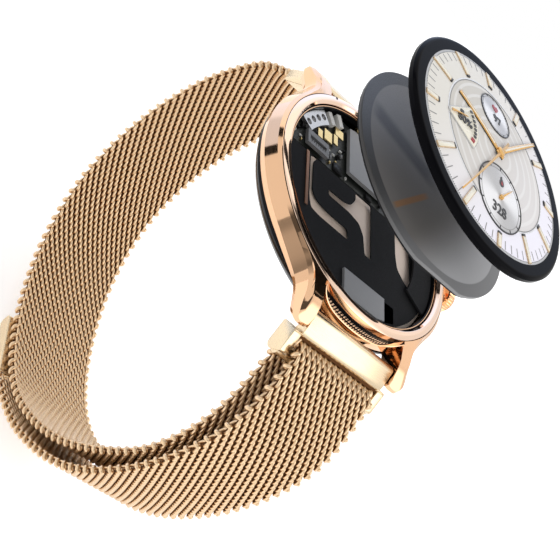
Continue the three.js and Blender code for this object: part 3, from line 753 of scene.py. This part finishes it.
Solid().prism_x(rounded(END_PROFILE, 0.7, 6), -9.45, 9.45).make(
    "end_piece_body", PALE_GOLD, "end_link", sharp=30, bevel=0.22, slot="end_metal", replaces=["end_piece"])
buckle = Solid().prism_x(rounded(PLATE_PROFILE, 0.45, 5), -9.45, 9.45)
for side in (-1, 1):
    buckle.prism_x(rounded(CROSS_PROFILE, 0.1, 2), *sorted((side * 9.0, side * 10.8)))
    buckle.prism_x(rounded(ARM_PROFILE, 0.45, 5), *sorted((side * 9.35, side * 10.9)))
buckle.rod_x(1.0, -10.7, 10.7, -27.8, 0.4, 48)
Solid().prism_x([(-26.2, 4.2), (-26.62, 3.4), (-25.0, 2.05), (-24.5, 3.0)], -9.3, 9.3).make(
    "fold_shadow_strip", WIRE_SHADE, "buckle", bevel=0.05)
buckle.make("buckle_body", PALE_GOLD, "buckle", sharp=30, bevel=0.16, slot="end_metal",
            replaces=["buckle_loop"])
Solid().prism_x(rounded(CLASP_PROFILE, 0.6, 6), -9.8, 9.8).make(
    "clasp_body", PALE_GOLD, "tail_link_4", sharp=30, bevel=0.3, slot="end_metal", replaces=["clasp_shell"])
BAR_Y, BAR_Z = 23.9, 5.4
for hour, side, body, pin_body in ((12, 1, "end_link", "end_pin"), (6, -1, "buckle", "buckle_pin")):
    y = side * BAR_Y
    bar = Solid().rod_x(0.7, -9.9, 5.6, y, BAR_Z, 40).rod_x(0.45, -10.8, -9.9, y, BAR_Z, 40)
    bar.make(f"bar_{hour}", STEEL, body, bevel=0.06, slot="steel", replaces=[f"spring_bar_{hour}"])
    pin = Solid().rod_x(0.6, 7.3, 9.9, y, BAR_Z, 40).rod_x(0.45, 9.9, 10.8, y, BAR_Z, 40)
    pin.lathe([(0, 2.0), (0.4, 2.0), (0.42, 3.0), (0.42, 5.4), (0, 5.4)], 32, (8.4, y))
    ball = [(0, 1.3)] + [(0.7 * math.sin(math.radians(a)), 2.0 - 0.7 * math.cos(math.radians(a)))
                         for a in range(12, 180, 12)] + [(0, 2.7)]
    pin.lathe(ball, 32, (8.4, y))
    pin.make(f"pin_{hour}", GLOSS_BLACK, pin_body, bevel=0.05, slot="black_parts",
             replaces=[f"release_pin_{hour}"])


# ---------------------------------------------------------------- display module
PANEL_Z = 21.9


def chin_disc(radius, flat, count=240):
    start = math.degrees(math.asin(-flat / radius))
    return [polar(radius, -start + (180 + 2 * start) * i / count) for i in range(count + 1)]


PANEL = Shader("display_frosted").set(Metallic=0.0, IOR=1.45, Specular_IOR_Level=0.15)
fine = PANEL.noise(5200.0, 4.0)
PANEL.rough(PANEL.smooth(fine, 0.3, 0.7, 0.34, 0.48))
cloud = PANEL.noise(55.0, 3.0)
# Painted reflection: the display turns lighter towards the lower right.
reflection_towards_lower_right = PANEL.minus(PANEL.times(PANEL.axis("X"), 0.72), PANEL.times(PANEL.axis("Y"), 0.69))
base = PANEL.mix(cloud, (0.200, 0.188, 0.176), (0.155, 0.144, 0.134))
base = PANEL.mix(PANEL.smooth(reflection_towards_lower_right, 4.5, 14.0), base, (0.47, 0.47, 0.48))


def painted_reflection_streak(start, end, inner, outer, fade_from, fade_to):
    """Soft-ended line across the display for a painted reflection, 1 on the line and 0 away from it."""
    side, place = PANEL.across(start, end)
    ends = PANEL.times(PANEL.smooth(place, -0.05, fade_from), PANEL.smooth(place, fade_to, 1.05, 1.0, 0.0))
    return PANEL.times(PANEL.smooth(side, inner, outer, 1.0, 0.0), ends)


# Painted reflections: a dark diagonal band and an orange-brown bar across the display.
base = PANEL.mix(painted_reflection_streak((-16.0, 4.2), (1.2, -0.6), 0.6, 2.8, 0.12, 0.75), base, (0.055, 0.050, 0.048))
bar = painted_reflection_streak((-11.1, -12.0), (-2.1, -4.0), 0.3, 0.65, 0.1, 0.85)
base = PANEL.mix(PANEL.times(bar, 0.8), base, (0.30, 0.15, 0.06))
# Painted reflection: the dark bezel ring lightens towards the lower right.
bezel_with_reflection = PANEL.mix(PANEL.smooth(reflection_towards_lower_right, -6.0, 14.0), (0.060, 0.058, 0.057), (0.26, 0.26, 0.265))
PANEL.color(PANEL.mix(PANEL.smooth(PANEL.radius(), 16.55, 16.8), base, bezel_with_reflection))
PANEL.bump(fine, 0.3, 8e-7)
Solid().prism(chin_disc(18.9, -18.1), PANEL_Z - 0.6, PANEL_Z).make(
    "display_face", PANEL.material, "display_module", bevel=0.09, slot="display_grey",
    replaces=["display_panel"])


# ---------------------------------------------------------------- cover glass with its dial
GLASS_TOP, DOME_R, DOME_RISE = 32.2, 17.55, 1.15


def dome(x, y):
    """Height of the domed dial over a point."""
    return GLASS_TOP + DOME_RISE * max(0.0, 1 - (x * x + y * y) / DOME_R ** 2)


FACE = Shader("dial_print").set(Metallic=0.0, IOR=1.5, Specular_IOR_Level=0.02)
grain = FACE.noise(4000.0, 3.0)
FACE.rough(FACE.smooth(grain, 0.3, 0.7, 0.08, 0.16))
r = FACE.radius()
# Painted sheen: the dial's outer and inner zones turn lighter and cooler in tint towards the lower right.
lit = FACE.minus(FACE.times(FACE.axis("X"), 0.7), FACE.times(FACE.axis("Y"), 0.7))
outer = FACE.mix(FACE.smooth(lit, -12.0, 14.0), (0.80, 0.77, 0.71), (0.90, 0.88, 0.96))
wave = FACE.tree.nodes.new("ShaderNodeTexWave")
wave.wave_type = "RINGS"
wave.rings_direction = "Z"
for key, setting in (("Scale", 150.0), ("Distortion", 9.0), ("Detail", 1.0), ("Detail Scale", 0.35)):
    wave.inputs[key].default_value = setting
FACE.link(FACE.coord.outputs["Object"], wave.inputs["Vector"])
lines = FACE.smooth(wave.outputs["Fac"], 0.72, 0.95)
inner = FACE.mix(FACE.smooth(lit, -10.0, 12.0), (0.66, 0.63, 0.58), (0.76, 0.73, 0.72))
inner = FACE.mix(FACE.times(lines, 0.45), inner, (0.90, 0.89, 0.88))
within = FACE.smooth(FACE.radius(0.2, 0.0), 12.42, 12.5, 1.0, 0.0)
dial = FACE.mix(within, outer, inner)
dial = FACE.mix(FACE.smooth(r, 17.15, 17.25), dial, (0.52, 0.52, 0.53))
FACE.color(FACE.mix(FACE.smooth(r, 17.55, 17.62), dial, (0.004, 0.004, 0.005)))
FACE.bump(grain, 0.2, 3e-7)
profile = [(0, 31.0), (19.85, 31.0), (20.0, 31.12), (20.0, 31.72), (19.9, 31.86), (19.62, 32.12),
           (19.45, 32.19), (19.2, 32.2), (17.7, 32.2), (17.55, 32.2)]
profile += [(rr, dome(rr, 0)) for rr in (17.3, 16.6, 15.5, 14.0, 12.0, 9.8, 7.5, 5.0, 2.5, 1.0)]
Solid().lathe(profile + [(0, dome(0, 0))], 240).make(
    "glass_body", FACE.material, "glass_cover", sharp=26, slot="cover_glass", replaces=["cover_glass"])

HAND_GOLD = worn("hand_gold", (0.80, 0.48, 0.17), (0.68, 0.39, 0.12),
                 0.75, 0.16, 0.26, scale=400, depth=4e-7)
FRAME_GOLD = worn("frame_gold", (0.72, 0.54, 0.34), (0.60, 0.44, 0.27),
                  0.6, 0.2, 0.3, scale=400, depth=4e-7)
IVORY = worn("ivory_inlay", (0.90, 0.86, 0.74), (0.82, 0.76, 0.62), 0.0, 0.16, 0.3, depth=4e-7)
INK = worn("dark_ink", (0.012, 0.011, 0.011), (0.028, 0.026, 0.025), 0.0, 0.25, 0.4, depth=4e-7)
GREY_INK = worn("grey_ink", (0.20, 0.195, 0.19), (0.29, 0.285, 0.28), 0.0, 0.3, 0.45, depth=4e-7)
RED_INK = worn("red_ink", (0.42, 0.012, 0.012), (0.30, 0.01, 0.01), 0.0, 0.2, 0.35, depth=4e-7)
WHITE_INK = worn("white_ink", (0.86, 0.86, 0.87), (0.78, 0.78, 0.79), 0.0, 0.2, 0.35, depth=4e-7)
FRAME_INK = worn("frame_ink", (0.60, 0.59, 0.57), (0.50, 0.49, 0.47), 0.35, 0.2, 0.3, depth=4e-7)


def silver_with_painted_sheen(name, x, y, light, dark):
    """Silver brushed in circles about a point, with a painted sheen: its colour turns lighter and darker with
    the angle round the point.
    """
    shader = Shader(name).set(Metallic=0.0, IOR=1.5)
    dx = shader.minus(shader.axis("X"), x)
    dy = shader.minus(shader.axis("Y"), y)
    angle = shader.math("ARCTAN2", dy, dx)
    sheen = shader.math("COSINE", shader.times(shader.minus(angle, 0.55), 2.0))
    # Painted sheen: dark and light bands by angle round the centre.
    shader.color(shader.mix(shader.smooth(sheen, -1.0, 1.0), dark, light))
    rings_ = shader.math("SINE", shader.times(shader.radius(x, y), 42.0))
    shader.rough(shader.smooth(rings_, -1.0, 1.0, 0.16, 0.3))
    shader.bump(rings_, 0.15, 1e-6)
    return shader.material


def flat_disc(centre, radius, lift, sides=96):
    """Disc that follows the domed dial."""
    rings = []
    for k in range(1, 9):
        rr = radius * k / 8
        ring_points = [(centre[0] + polar(rr, 360 * i / sides)[0], centre[1] + polar(rr, 360 * i / sides)[1])
                       for i in range(sides)]
        rings.append([(x, y, dome(x, y) + lift) for x, y in ring_points])
    skirt = [(x, y, z - lift - 0.02) for x, y, z in rings[-1]]
    solid = Solid().loops(rings + [skirt], caps=False)
    solid.faces.append(tuple(range(sides)))
    solid.faces.append(tuple(reversed([8 * sides + i for i in range(sides)])))
    return solid


def arc_band(solid, centre, inner, outer, low, high, start=0.0, end=360.0, steps=96):
    """Flat band round a centre that follows the dial, between two heights over it."""
    full = end - start >= 360
    rings = []
    for i in range(steps if full else steps + 1):
        angle = start + (end - start) * i / steps
        (ax, ay), (bx, by) = polar(inner, angle), polar(outer, angle)
        ax, ay, bx, by = ax + centre[0], ay + centre[1], bx + centre[0], by + centre[1]
        rings.append([(ax, ay, dome(ax, ay) + low), (bx, by, dome(bx, by) + low),
                      (bx, by, dome(bx, by) + high), (ax, ay, dome(ax, ay) + high)])
    return solid.loops(rings, closed=full)


def bar_between(solid, start, end, first, last, low, high):
    """Tapering bar that follows the dial, between two heights over it."""
    (ax, ay), (bx, by) = start, end
    length = math.hypot(bx - ax, by - ay)
    ux, uy = (bx - ax) / length, (by - ay) / length
    count = max(1, round(length / 1.5))
    rings = []
    for k in range(count + 1):
        t = k / count
        half = (first + (last - first) * t) / 2
        corners = [(ax + (bx - ax) * t - side * uy * half, ay + (by - ay) * t + side * ux * half)
                   for side in (1, -1)]
        heights = [dome(x, y) for x, y in corners]
        rings.append([(*corners[0], heights[0] + low), (*corners[1], heights[1] + low),
                      (*corners[1], heights[1] + high), (*corners[0], heights[0] + high)])
    return solid.loops(rings)


def on_dial(name, solid, material, bevel=0.0):
    return solid.make(name, material, "glass_cover", sharp=30, bevel=bevel, segments=2)


def around(centre, radius, degrees):
    x, y = polar(radius, degrees)
    return centre[0] + x, centre[1] + y


def icon(name, outline, centre, size, rounding, high, material):
    """Small solid symbol on the dial."""
    points = [(centre[0] + size * x, centre[1] + size * y) for x, y in rounded(outline, rounding)]
    on_dial(name, Solid().prism(points, 0.0, high, dome), material)


def build_dial():
    ticks, dots = Solid(), Solid()
    for minute in range(60):
        if minute % 5:
            angle = 6 * minute
            bar_between(ticks, polar(15.6, angle), polar(17.0, angle), 0.13, 0.13, -0.03, 0.04)
    for k in range(300):
        angle = 1.2 * k
        bar_between(dots, polar(17.14, angle), polar(17.26, angle), 0.12, 0.12, -0.03, 0.03)
    on_dial("minute_ticks", ticks, GREY_INK)
    on_dial("minute_dots", dots, INK)
    gold, ivory, dark = Solid(), Solid(), Solid()
    lengths = {12: 13.9, 3: 13.9, 6: 14.9, 9: 14.6}
    for hour in range(1, 13):
        angle = 90 - 30 * hour
        near = lengths.get(hour, 12.9)
        bar_between(gold, polar(near + 0.35, angle), polar(17.45, angle), 1.0, 1.0, -0.05, 0.2)
        bar_between(ivory, polar(near + 0.5, angle), polar(17.32, angle), 0.72, 0.72, 0.1, 0.24)
        bar_between(dark, polar(near, angle), polar(near + 0.4, angle), 0.95, 0.95, -0.05, 0.2)
    on_dial("hour_frames", gold, FRAME_GOLD, 0.04)
    on_dial("hour_inlays", ivory, IVORY, 0.03)
    on_dial("hour_feet", dark, INK, 0.04)
    on_dial("inner_edge", arc_band(Solid(), (0.2, 0), 12.4, 12.52, -0.03, 0.05, steps=192), GREY_INK)
    on_dial("inner_halo", arc_band(Solid(), (0.2, 0), 12.58, 12.78, -0.03, 0.035, steps=192), WHITE_INK)

    # lower and upper counters
    for name, centre, radius, digits, size, shift in (
            ("lower", (0.1, -8.6), 5.75, "328", 2.5, (-0.4, -2.6)),
            ("upper", (0.2, 8.0), 3.9, "97", 2.2, (0.3, -0.9))):
        cx, cy = centre
        silver = silver_with_painted_sheen(f"{name}_silver", cx, cy, (0.90, 0.89, 0.90), (0.50, 0.49, 0.49))
        on_dial(f"{name}_counter", flat_disc(centre, radius - 0.1, 0.06), silver)
        edge = arc_band(Solid(), centre, radius - 0.22, radius, -0.03, 0.14)
        on_dial(f"{name}_counter_edge", edge, INK, 0.02)
        line = arc_band(Solid(), centre, radius * 0.86, radius * 0.875, 0, 0.085)
        on_dial(f"{name}_counter_line", line, GREY_INK)
        marks = Solid()
        for k in range(12):
            bar_between(marks, around(centre, radius * 0.88, 30 * k), around(centre, radius * 0.965, 30 * k),
                        0.22, 0.22, 0, 0.1)
        on_dial(f"{name}_counter_marks", marks, INK)
        number(f"{name}_digits", digits, size, (cx + shift[0], cy + shift[1]), INK)
    flame = [(-0.55, -0.5), (-0.2, -0.9), (0.25, -0.9), (0.6, -0.45), (0.55, 0.15), (0.2, 0.5), (0.1, 1.15),
             (-0.3, 0.75), (-0.25, 0.3), (-0.5, 0.1)]
    icon("flame_icon", flame, (0.3, -5.6), 1.0, 0.2, 0.12, INK)
    icon("flame_core", flame, (0.33, -5.85), 0.42, 0.2, 0.15, RED_INK)
    heart = [(0, -0.95), (0.85, -0.05), (0.9, 0.5), (0.5, 0.85), (0.05, 0.5), (0, 0.42), (-0.05, 0.5),
             (-0.5, 0.85), (-0.9, 0.5), (-0.85, -0.05)]
    icon("heart_icon", heart, (0.3, 9.45), 0.85, 0.25, 0.14, RED_INK)
    tip = polar(4.2, 46)
    needle = bar_between(Solid(), (0.1 - tip[0] * 0.18, -8.6 - tip[1] * 0.18), (0.1 + tip[0], -8.6 + tip[1]),
                         0.45, 0.12, 0.12, 0.3)
    hub = dome(0.1, -8.6)
    needle.lathe([(0, hub), (0.42, hub), (0.42, hub + 0.36), (0.3, hub + 0.42), (0, hub + 0.42)],
                 32, (0.1, -8.6))
    on_dial("counter_needle", needle, HAND_GOLD, 0.03)

    # fan-shaped gauge
    apex = (-12.4, -0.1)
    fan = [around(apex, 6.9, angle) for angle in (38, 30, 20, 10, 0, -10, -20, -30, -38)]
    outline = rounded([(apex[0] - 0.2, apex[1] + 0.5)] + fan + [(apex[0] - 0.2, apex[1] - 0.5)], 0.6, 5)
    centre_x = sum(p[0] for p in outline) / len(outline)
    smaller = [(centre_x + (x - centre_x) * 0.94, y * 0.92) for x, y in outline]
    on_dial("gauge_frame", Solid().prism(outline, -0.05, 0.16, dome), FRAME_INK, 0.04)
    on_dial("gauge_face", Solid().prism(smaller, 0.0, 0.2, dome), IVORY, 0.02)
    blocks = Solid()
    for k in range(7):
        angle = 30 - k * 7.6
        bar_between(blocks, around(apex, 5.75, angle), around(apex, 6.3, angle), 0.5, 0.5, 0.15, 0.26)
    on_dial("gauge_blocks", blocks, INK)
    on_dial("gauge_red", bar_between(Solid(), around(apex, 5.5, -27), around(apex, 6.25, -27),
                                     0.8, 0.8, 0.15, 0.27), RED_INK)
    number("gauge_digits", "80%", 2.0, (-8.9, -0.1), INK, 0.24)
    battery = rounded([(-9.9, 1.0), (-9.1, 1.0), (-9.1, 1.7), (-9.9, 1.7)], 0.2)
    on_dial("gauge_icon", Solid().prism(battery, 0.15, 0.27, dome), INK)
    needle = bar_between(Solid(), (-12.0, -0.05), (-8.3, 1.05), 0.35, 0.1, 0.3, 0.42)
    on_dial("gauge_needle", needle, HAND_GOLD)


def number(name, text, size, place, material, lift=0.09):
    """Digits of the dial as thin solids."""
    curve = bpy.data.curves.new(name, "FONT")
    curve.body = text
    curve.size = size * MM
    curve.extrude = 0.05 * MM
    curve.offset = 0.018 * size * MM
    curve.align_x = "CENTER"
    curve.align_y = "CENTER"
    curve.resolution_u = 5
    letter = bpy.data.objects.new(name, curve)
    bpy.context.scene.collection.objects.link(letter)
    graph = bpy.context.evaluated_depsgraph_get()
    mesh = bpy.data.meshes.new_from_object(letter.evaluated_get(graph))
    bpy.data.objects.remove(letter)
    x, y = place
    mesh.transform(Matrix.Translation(Vector((x, y, lift)) * MM))
    for vertex in mesh.vertices:
        vertex.co.z += dome(vertex.co.x / MM, vertex.co.y / MM) * MM
    mesh.materials.clear()
    mesh.materials.append(material)
    obj = bpy.data.objects.new(name, mesh)
    bpy.context.scene.collection.objects.link(obj)
    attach(obj, "glass_cover")
    return obj


def build_hands():
    for name, angle, reach, tail, wide, narrow, rise in (
            ("hour_hand", 149, 11.1, 1.1, 1.0, 0.85, 0.12), ("minute_hand", 42, 16.9, 1.3, 0.95, 0.6, 0.32)):
        under, hand, groove = Solid(), Solid(), Solid()
        # Dark ink layer under each gold hand, showing as painted shade along its sides.
        bar_between(under, polar(-tail, angle), polar(reach, angle), wide, narrow, rise - 0.1, rise)
        bar_between(hand, polar(-tail, angle), polar(reach, angle), wide, narrow, rise, rise + 0.16)
        bar_between(groove, polar(1.6, angle), polar(reach - 0.6, angle), wide * 0.36, narrow * 0.3,
                    rise + 0.1, rise + 0.18)
        on_dial(name + "_under", under, INK)
        on_dial(name, hand, HAND_GOLD, 0.06)
        on_dial(name + "_inlay", groove, IVORY, 0.03)
    second = bar_between(Solid(), polar(-4.2, -126), polar(16.8, -126), 0.5, 0.26, 0.5, 0.58)
    on_dial("second_hand", second, HAND_GOLD, 0.03)
    top = dome(0, 0)
    cap = Solid().lathe([(0, top + 0.05), (0.8, top + 0.05), (0.8, top + 0.56), (0.62, top + 0.66),
                         (0, top + 0.7)], 48)
    on_dial("hand_cap", cap, HAND_GOLD)


build_dial()
build_hands()


# ---------------------------------------------------------------- inside the case
def finish_node(name, material, bevel=0.0):
    """Gives a CAD solid its material and softened edges."""
    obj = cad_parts[name]
    obj.data.materials.clear()
    obj.data.materials.append(material)
    for polygon in obj.data.polygons:
        polygon.material_index = 0
    if bevel:
        modifier = obj.modifiers.new("bevel", "BEVEL")
        modifier.width = bevel * MM
        modifier.segments = 2
        modifier.limit_method = "ANGLE"
        modifier.angle_limit = math.radians(40)


def build_sheet():
    """Black sheet under the display with its rounded openings."""
    low, high = 7.25, 7.45
    sheet = Solid().prism([polar(18.3, a) for a in np.linspace(-194.8, 14.8, 120)], low, high).make(
        "black_sheet", GRAPHITE, "case", sharp=24, replaces=["graphite_sheet"])
    openings = [
        ([(-12.9, 4.4), (-11.1, 5.0), (-12.1, 3.5), (-12.2, -2.2), (-11.2, -3.6), (-8.8, -4.2), (-3.3, -4.4),
          (-3.1, -6.4), (-10.3, -6.3), (-12.4, -5.9), (-12.9, -4.0)], 0.6),
        ([(-8.2, 0.6), (-4.0, 0.7), (-2.4, 1.3), (-1.3, 3.0), (-1.3, 4.55), (2.9, 4.55), (2.9, -6.6),
          (1.2, -6.6), (0.8, -3.0), (-0.4, -1.2), (-3.0, -0.6), (-8.2, -0.6)], 0.55),
        ([(9.4, 3.9), (11.4, 3.4), (13.5, 2.3), (13.7, -6.4), (12.0, -5.7), (10.0, -4.0), (9.5, -1.4)], 0.8),
    ]
    for outline, radius in openings:
        carve(sheet, Solid().prism(rounded(outline, radius, 6), low - 1, high + 1))


build_sheet()
SATIN = worn("satin_shield", (0.33, 0.33, 0.335), (0.28, 0.28, 0.285),
             0.25, 0.38, 0.5, scale=120, grain=5000)
for material, bevel, names in (
        (CHASSIS, 0, "chassis_plate"), (BOARD, 0, "main_board sensor_board"), (COPPER, 0.04, "copper_strip"),
        (SATIN, 0.08, "lower_shield upper_shield"), (BLACK_PART, 0.04, "lower_bracket"),
        (GREY, 0.03, "display_socket"), (STEEL, 0.05, "speaker_cover crown_tube crown_stem"),
        (WHITE_PART, 0.12, "spring_contact_1 spring_contact_2"), (GOLD, 0.08, "microphone"),
        (GRAPHITE, 0.06, "antenna_well"), (GREY, 0.3, "battery"), (STEEL, 0.3, "vibration_motor"),
        (BLACK_PART, 0.2, "speaker_box"), (GREY, 0.05, "sensor_ring"), (RUBBER, 0.05, "back_seal"),
        (BLACK_PART, 0.1, "crown_switch"), (BLACK_PART, 0, "display_backing"), (COPPER, 0, "display_flex"),
        (GLOSS_BLACK, 0, "black_border"), (GREY, 0, "touch_layer"), (STEEL, 0.15, "clasp_magnet"),
        (GOLD, 0.06, "contact_pad_1 contact_pad_2 contact_pad_3 contact_pad_4")):
    for name in names.split():
        finish_node(name, material, bevel)


def build_components():
    """Small parts soldered to the main board."""
    rng = random.Random(7)
    kinds = [(Solid(), BLACK_PART), (Solid(), WHITE_PART), (Solid(), GREY), (Solid(), GOLD)]
    taken = [(-14.4, 6.0, -8.8, 9.2), (-3.8, 7.0, 6.8, 17.4), (-11.6, 9.5, -10.1, 11.6),
             (-10.0, 10.1, -7.7, 12.7), (-7.2, 13.0, -4.8, 15.1), (-7.6, 10.8, -6.2, 13.2),
             (-1.8, 17.3, 0.8, 18.7)]
    for _ in range(420):
        x, y = rng.uniform(-18, 18), rng.uniform(6.0, 18)
        kind = rng.choice([0, 0, 0, 1, 2, 3])
        w, h = rng.choice([(0.5, 0.3), (0.9, 0.5), (0.4, 0.8), (1.5, 1.1), (2.2, 1.6)])
        if kind in (1, 3):
            w, h = rng.choice([(0.35, 0.25), (0.6, 0.3), (0.25, 0.5)])
        box = (x - w / 2 - 0.12, y - h / 2 - 0.12, x + w / 2 + 0.12, y + h / 2 + 0.12)
        far = max(math.hypot(px, py) for px in box[::2] for py in box[1::2])
        angle = math.degrees(math.atan2(y, x))
        if far > 18.6 or (108 < angle < 148 and far > 15.6):
            continue
        if any(box[0] < t[2] and box[2] > t[0] and box[1] < t[3] and box[3] > t[1] for t in taken):
            continue
        taken.append(box)
        high = 6.9 + rng.uniform(0.25, 0.7) * (1.0 if kind in (0, 2) else 0.6)
        kinds[kind][0].box((x - w / 2, y - h / 2, 6.88), (x + w / 2, y + h / 2, high))
    for index, (solid, material) in enumerate(kinds):
        solid.make(f"board_parts_{index + 1}", material, "case", bevel=0.04, segments=2)


build_components()


# ---------------------------------------------------------------- camera, light and floor
def place_camera():
    data = bpy.data.cameras.new("camera")
    data.sensor_width = 36
    data.lens = 86.87
    data.clip_start, data.clip_end = 0.01, 20
    camera = bpy.data.objects.new("camera", data)
    bpy.context.scene.collection.objects.link(camera)
    right = Vector((0.636793, 0.044129, 0.769771))
    up = Vector((-0.487667, 0.796355, 0.357770))
    back = Vector((-0.597223, -0.603217, 0.528634))
    turn = Matrix((right, up, back)).transposed().to_4x4()
    camera.matrix_world = Matrix.Translation(Vector((-132.61, -138.85, 108.40)) * MM) @ turn
    bpy.context.scene.camera = camera


place_camera()


class Studio(Nodes):
    """Soft white studio with a few brighter and darker zones that only reflections show."""

    def __init__(self):
        world = bpy.data.worlds.new("studio")
        bpy.context.scene.world = world
        world.use_nodes = True
        super().__init__(world.node_tree)
        self.tree.nodes.clear()
        new = self.tree.nodes.new
        out, plain, studio, choose = (new(kind) for kind in (
            "ShaderNodeOutputWorld", "ShaderNodeBackground", "ShaderNodeBackground", "ShaderNodeMixShader"))
        path, coord, self.split = (new(kind) for kind in (
            "ShaderNodeLightPath", "ShaderNodeTexCoord", "ShaderNodeSeparateXYZ"))
        self.direction = coord.outputs["Generated"]
        self.link(self.direction, self.split.inputs[0])
        strength = 0.95
        for mask, level in self.zones():
            rest = self.math("MULTIPLY", self.math("SUBTRACT", 1.0, mask), strength)
            strength = self.math("ADD", rest, self.math("MULTIPLY", mask, level))
        self.link(strength, studio.inputs["Strength"])
        height = self.math("ABSOLUTE", self.split.outputs["Z"])
        low = self.smooth(height, 0.5, 0.3, kind="LINEAR")
        cool = self.math("MULTIPLY", self.zone(60, 137, 6, 1.5, 55.0), low)
        self.link(self.mix(cool, (1.0, 1.0, 1.0), (0.88, 1.03, 1.35)), studio.inputs["Color"])
        plain.inputs["Color"].default_value = (1, 1, 1, 1)
        plain.inputs["Strength"].default_value = 1.0
        self.link(path.outputs["Is Camera Ray"], choose.inputs[0])
        self.link(studio.outputs[0], choose.inputs[1])
        self.link(plain.outputs[0], choose.inputs[2])
        self.link(choose.outputs[0], out.inputs[0])

    def spot(self, direction, inner, outer):
        """1 within inner degrees of a direction, 0 beyond outer."""
        dot = self.tree.nodes.new("ShaderNodeVectorMath")
        dot.operation = "DOT_PRODUCT"
        self.link(self.direction, dot.inputs[0])
        dot.inputs[1].default_value = Vector(direction).normalized()
        return self.smooth(dot.outputs["Value"], math.cos(math.radians(outer)), math.cos(math.radians(inner)))

    def zone(self, first, last, soft_in, soft_out, lean=0.0):
        """1 between two azimuths that shift by lean degrees with the height, with a soft edge at each."""
        angle = self.math("ARCTAN2", self.split.outputs["Y"], self.split.outputs["X"])
        middle = self.math("SUBTRACT", math.radians((first + last) / 2),
                           self.math("MULTIPLY", self.split.outputs["Z"], math.radians(lean)))
        wrapped = self.math("WRAP", self.math("SUBTRACT", angle, middle), math.pi, -math.pi)
        half = (last - first) / 2
        edges = [self.smooth(self.math("MULTIPLY", wrapped, sign), math.radians(half + soft),
                             math.radians(half))
                 for sign, soft in ((-1.0, soft_in), (1.0, soft_out))]
        return self.math("MULTIPLY", *edges)

    def zones(self):
        """Brighter and darker parts of the studio, each with its level."""
        return [
            (self.zone(58, 106, 8, 8), 1.3),
            (self.zone(138.5, 147.5, 1.5, 1.5, 55.0), 0.02),
            (self.zone(201.6, 206.0, 0.6, 26.0), 0.32),
            (self.spot((0.6, -0.5, 0.57), 18, 32), 2.2),
            (self.spot((0.6, 0.34, 0.72), 14, 26), 1.1),
            (self.spot((-0.1, -0.08, 0.99), 17, 22), 0.10),
        ]


Studio()


def build_floor():
    shader = Shader("floor_paper").set(Metallic=0.0)
    shader.color(shader.mix(shader.noise(30.0), (0.80, 0.80, 0.80), (0.83, 0.83, 0.83)))
    shader.rough(shader.smooth(shader.noise(900.0), 0.2, 0.8, 0.85, 0.95))
    shader.bsdf.inputs["Emission Color"].default_value = (1, 1, 1, 1)
    shader.bsdf.inputs["Emission Strength"].default_value = 0.5
    sides = 96
    z = CAD_BOX[0].z / MM - 0.3
    rings = [[(20 + polar(r, 360 * i / sides)[0], 20 + polar(r, 360 * i / sides)[1], z) for i in range(sides)]
             for r in (40, 120, 260)]
    floor = Solid().loops(rings, caps=False)
    floor.faces.append(tuple(range(sides)))
    obj = make("floor", floor.verts, floor.faces, shader.material)


build_floor()
bpy.context.scene.view_settings.view_transform = "Standard"
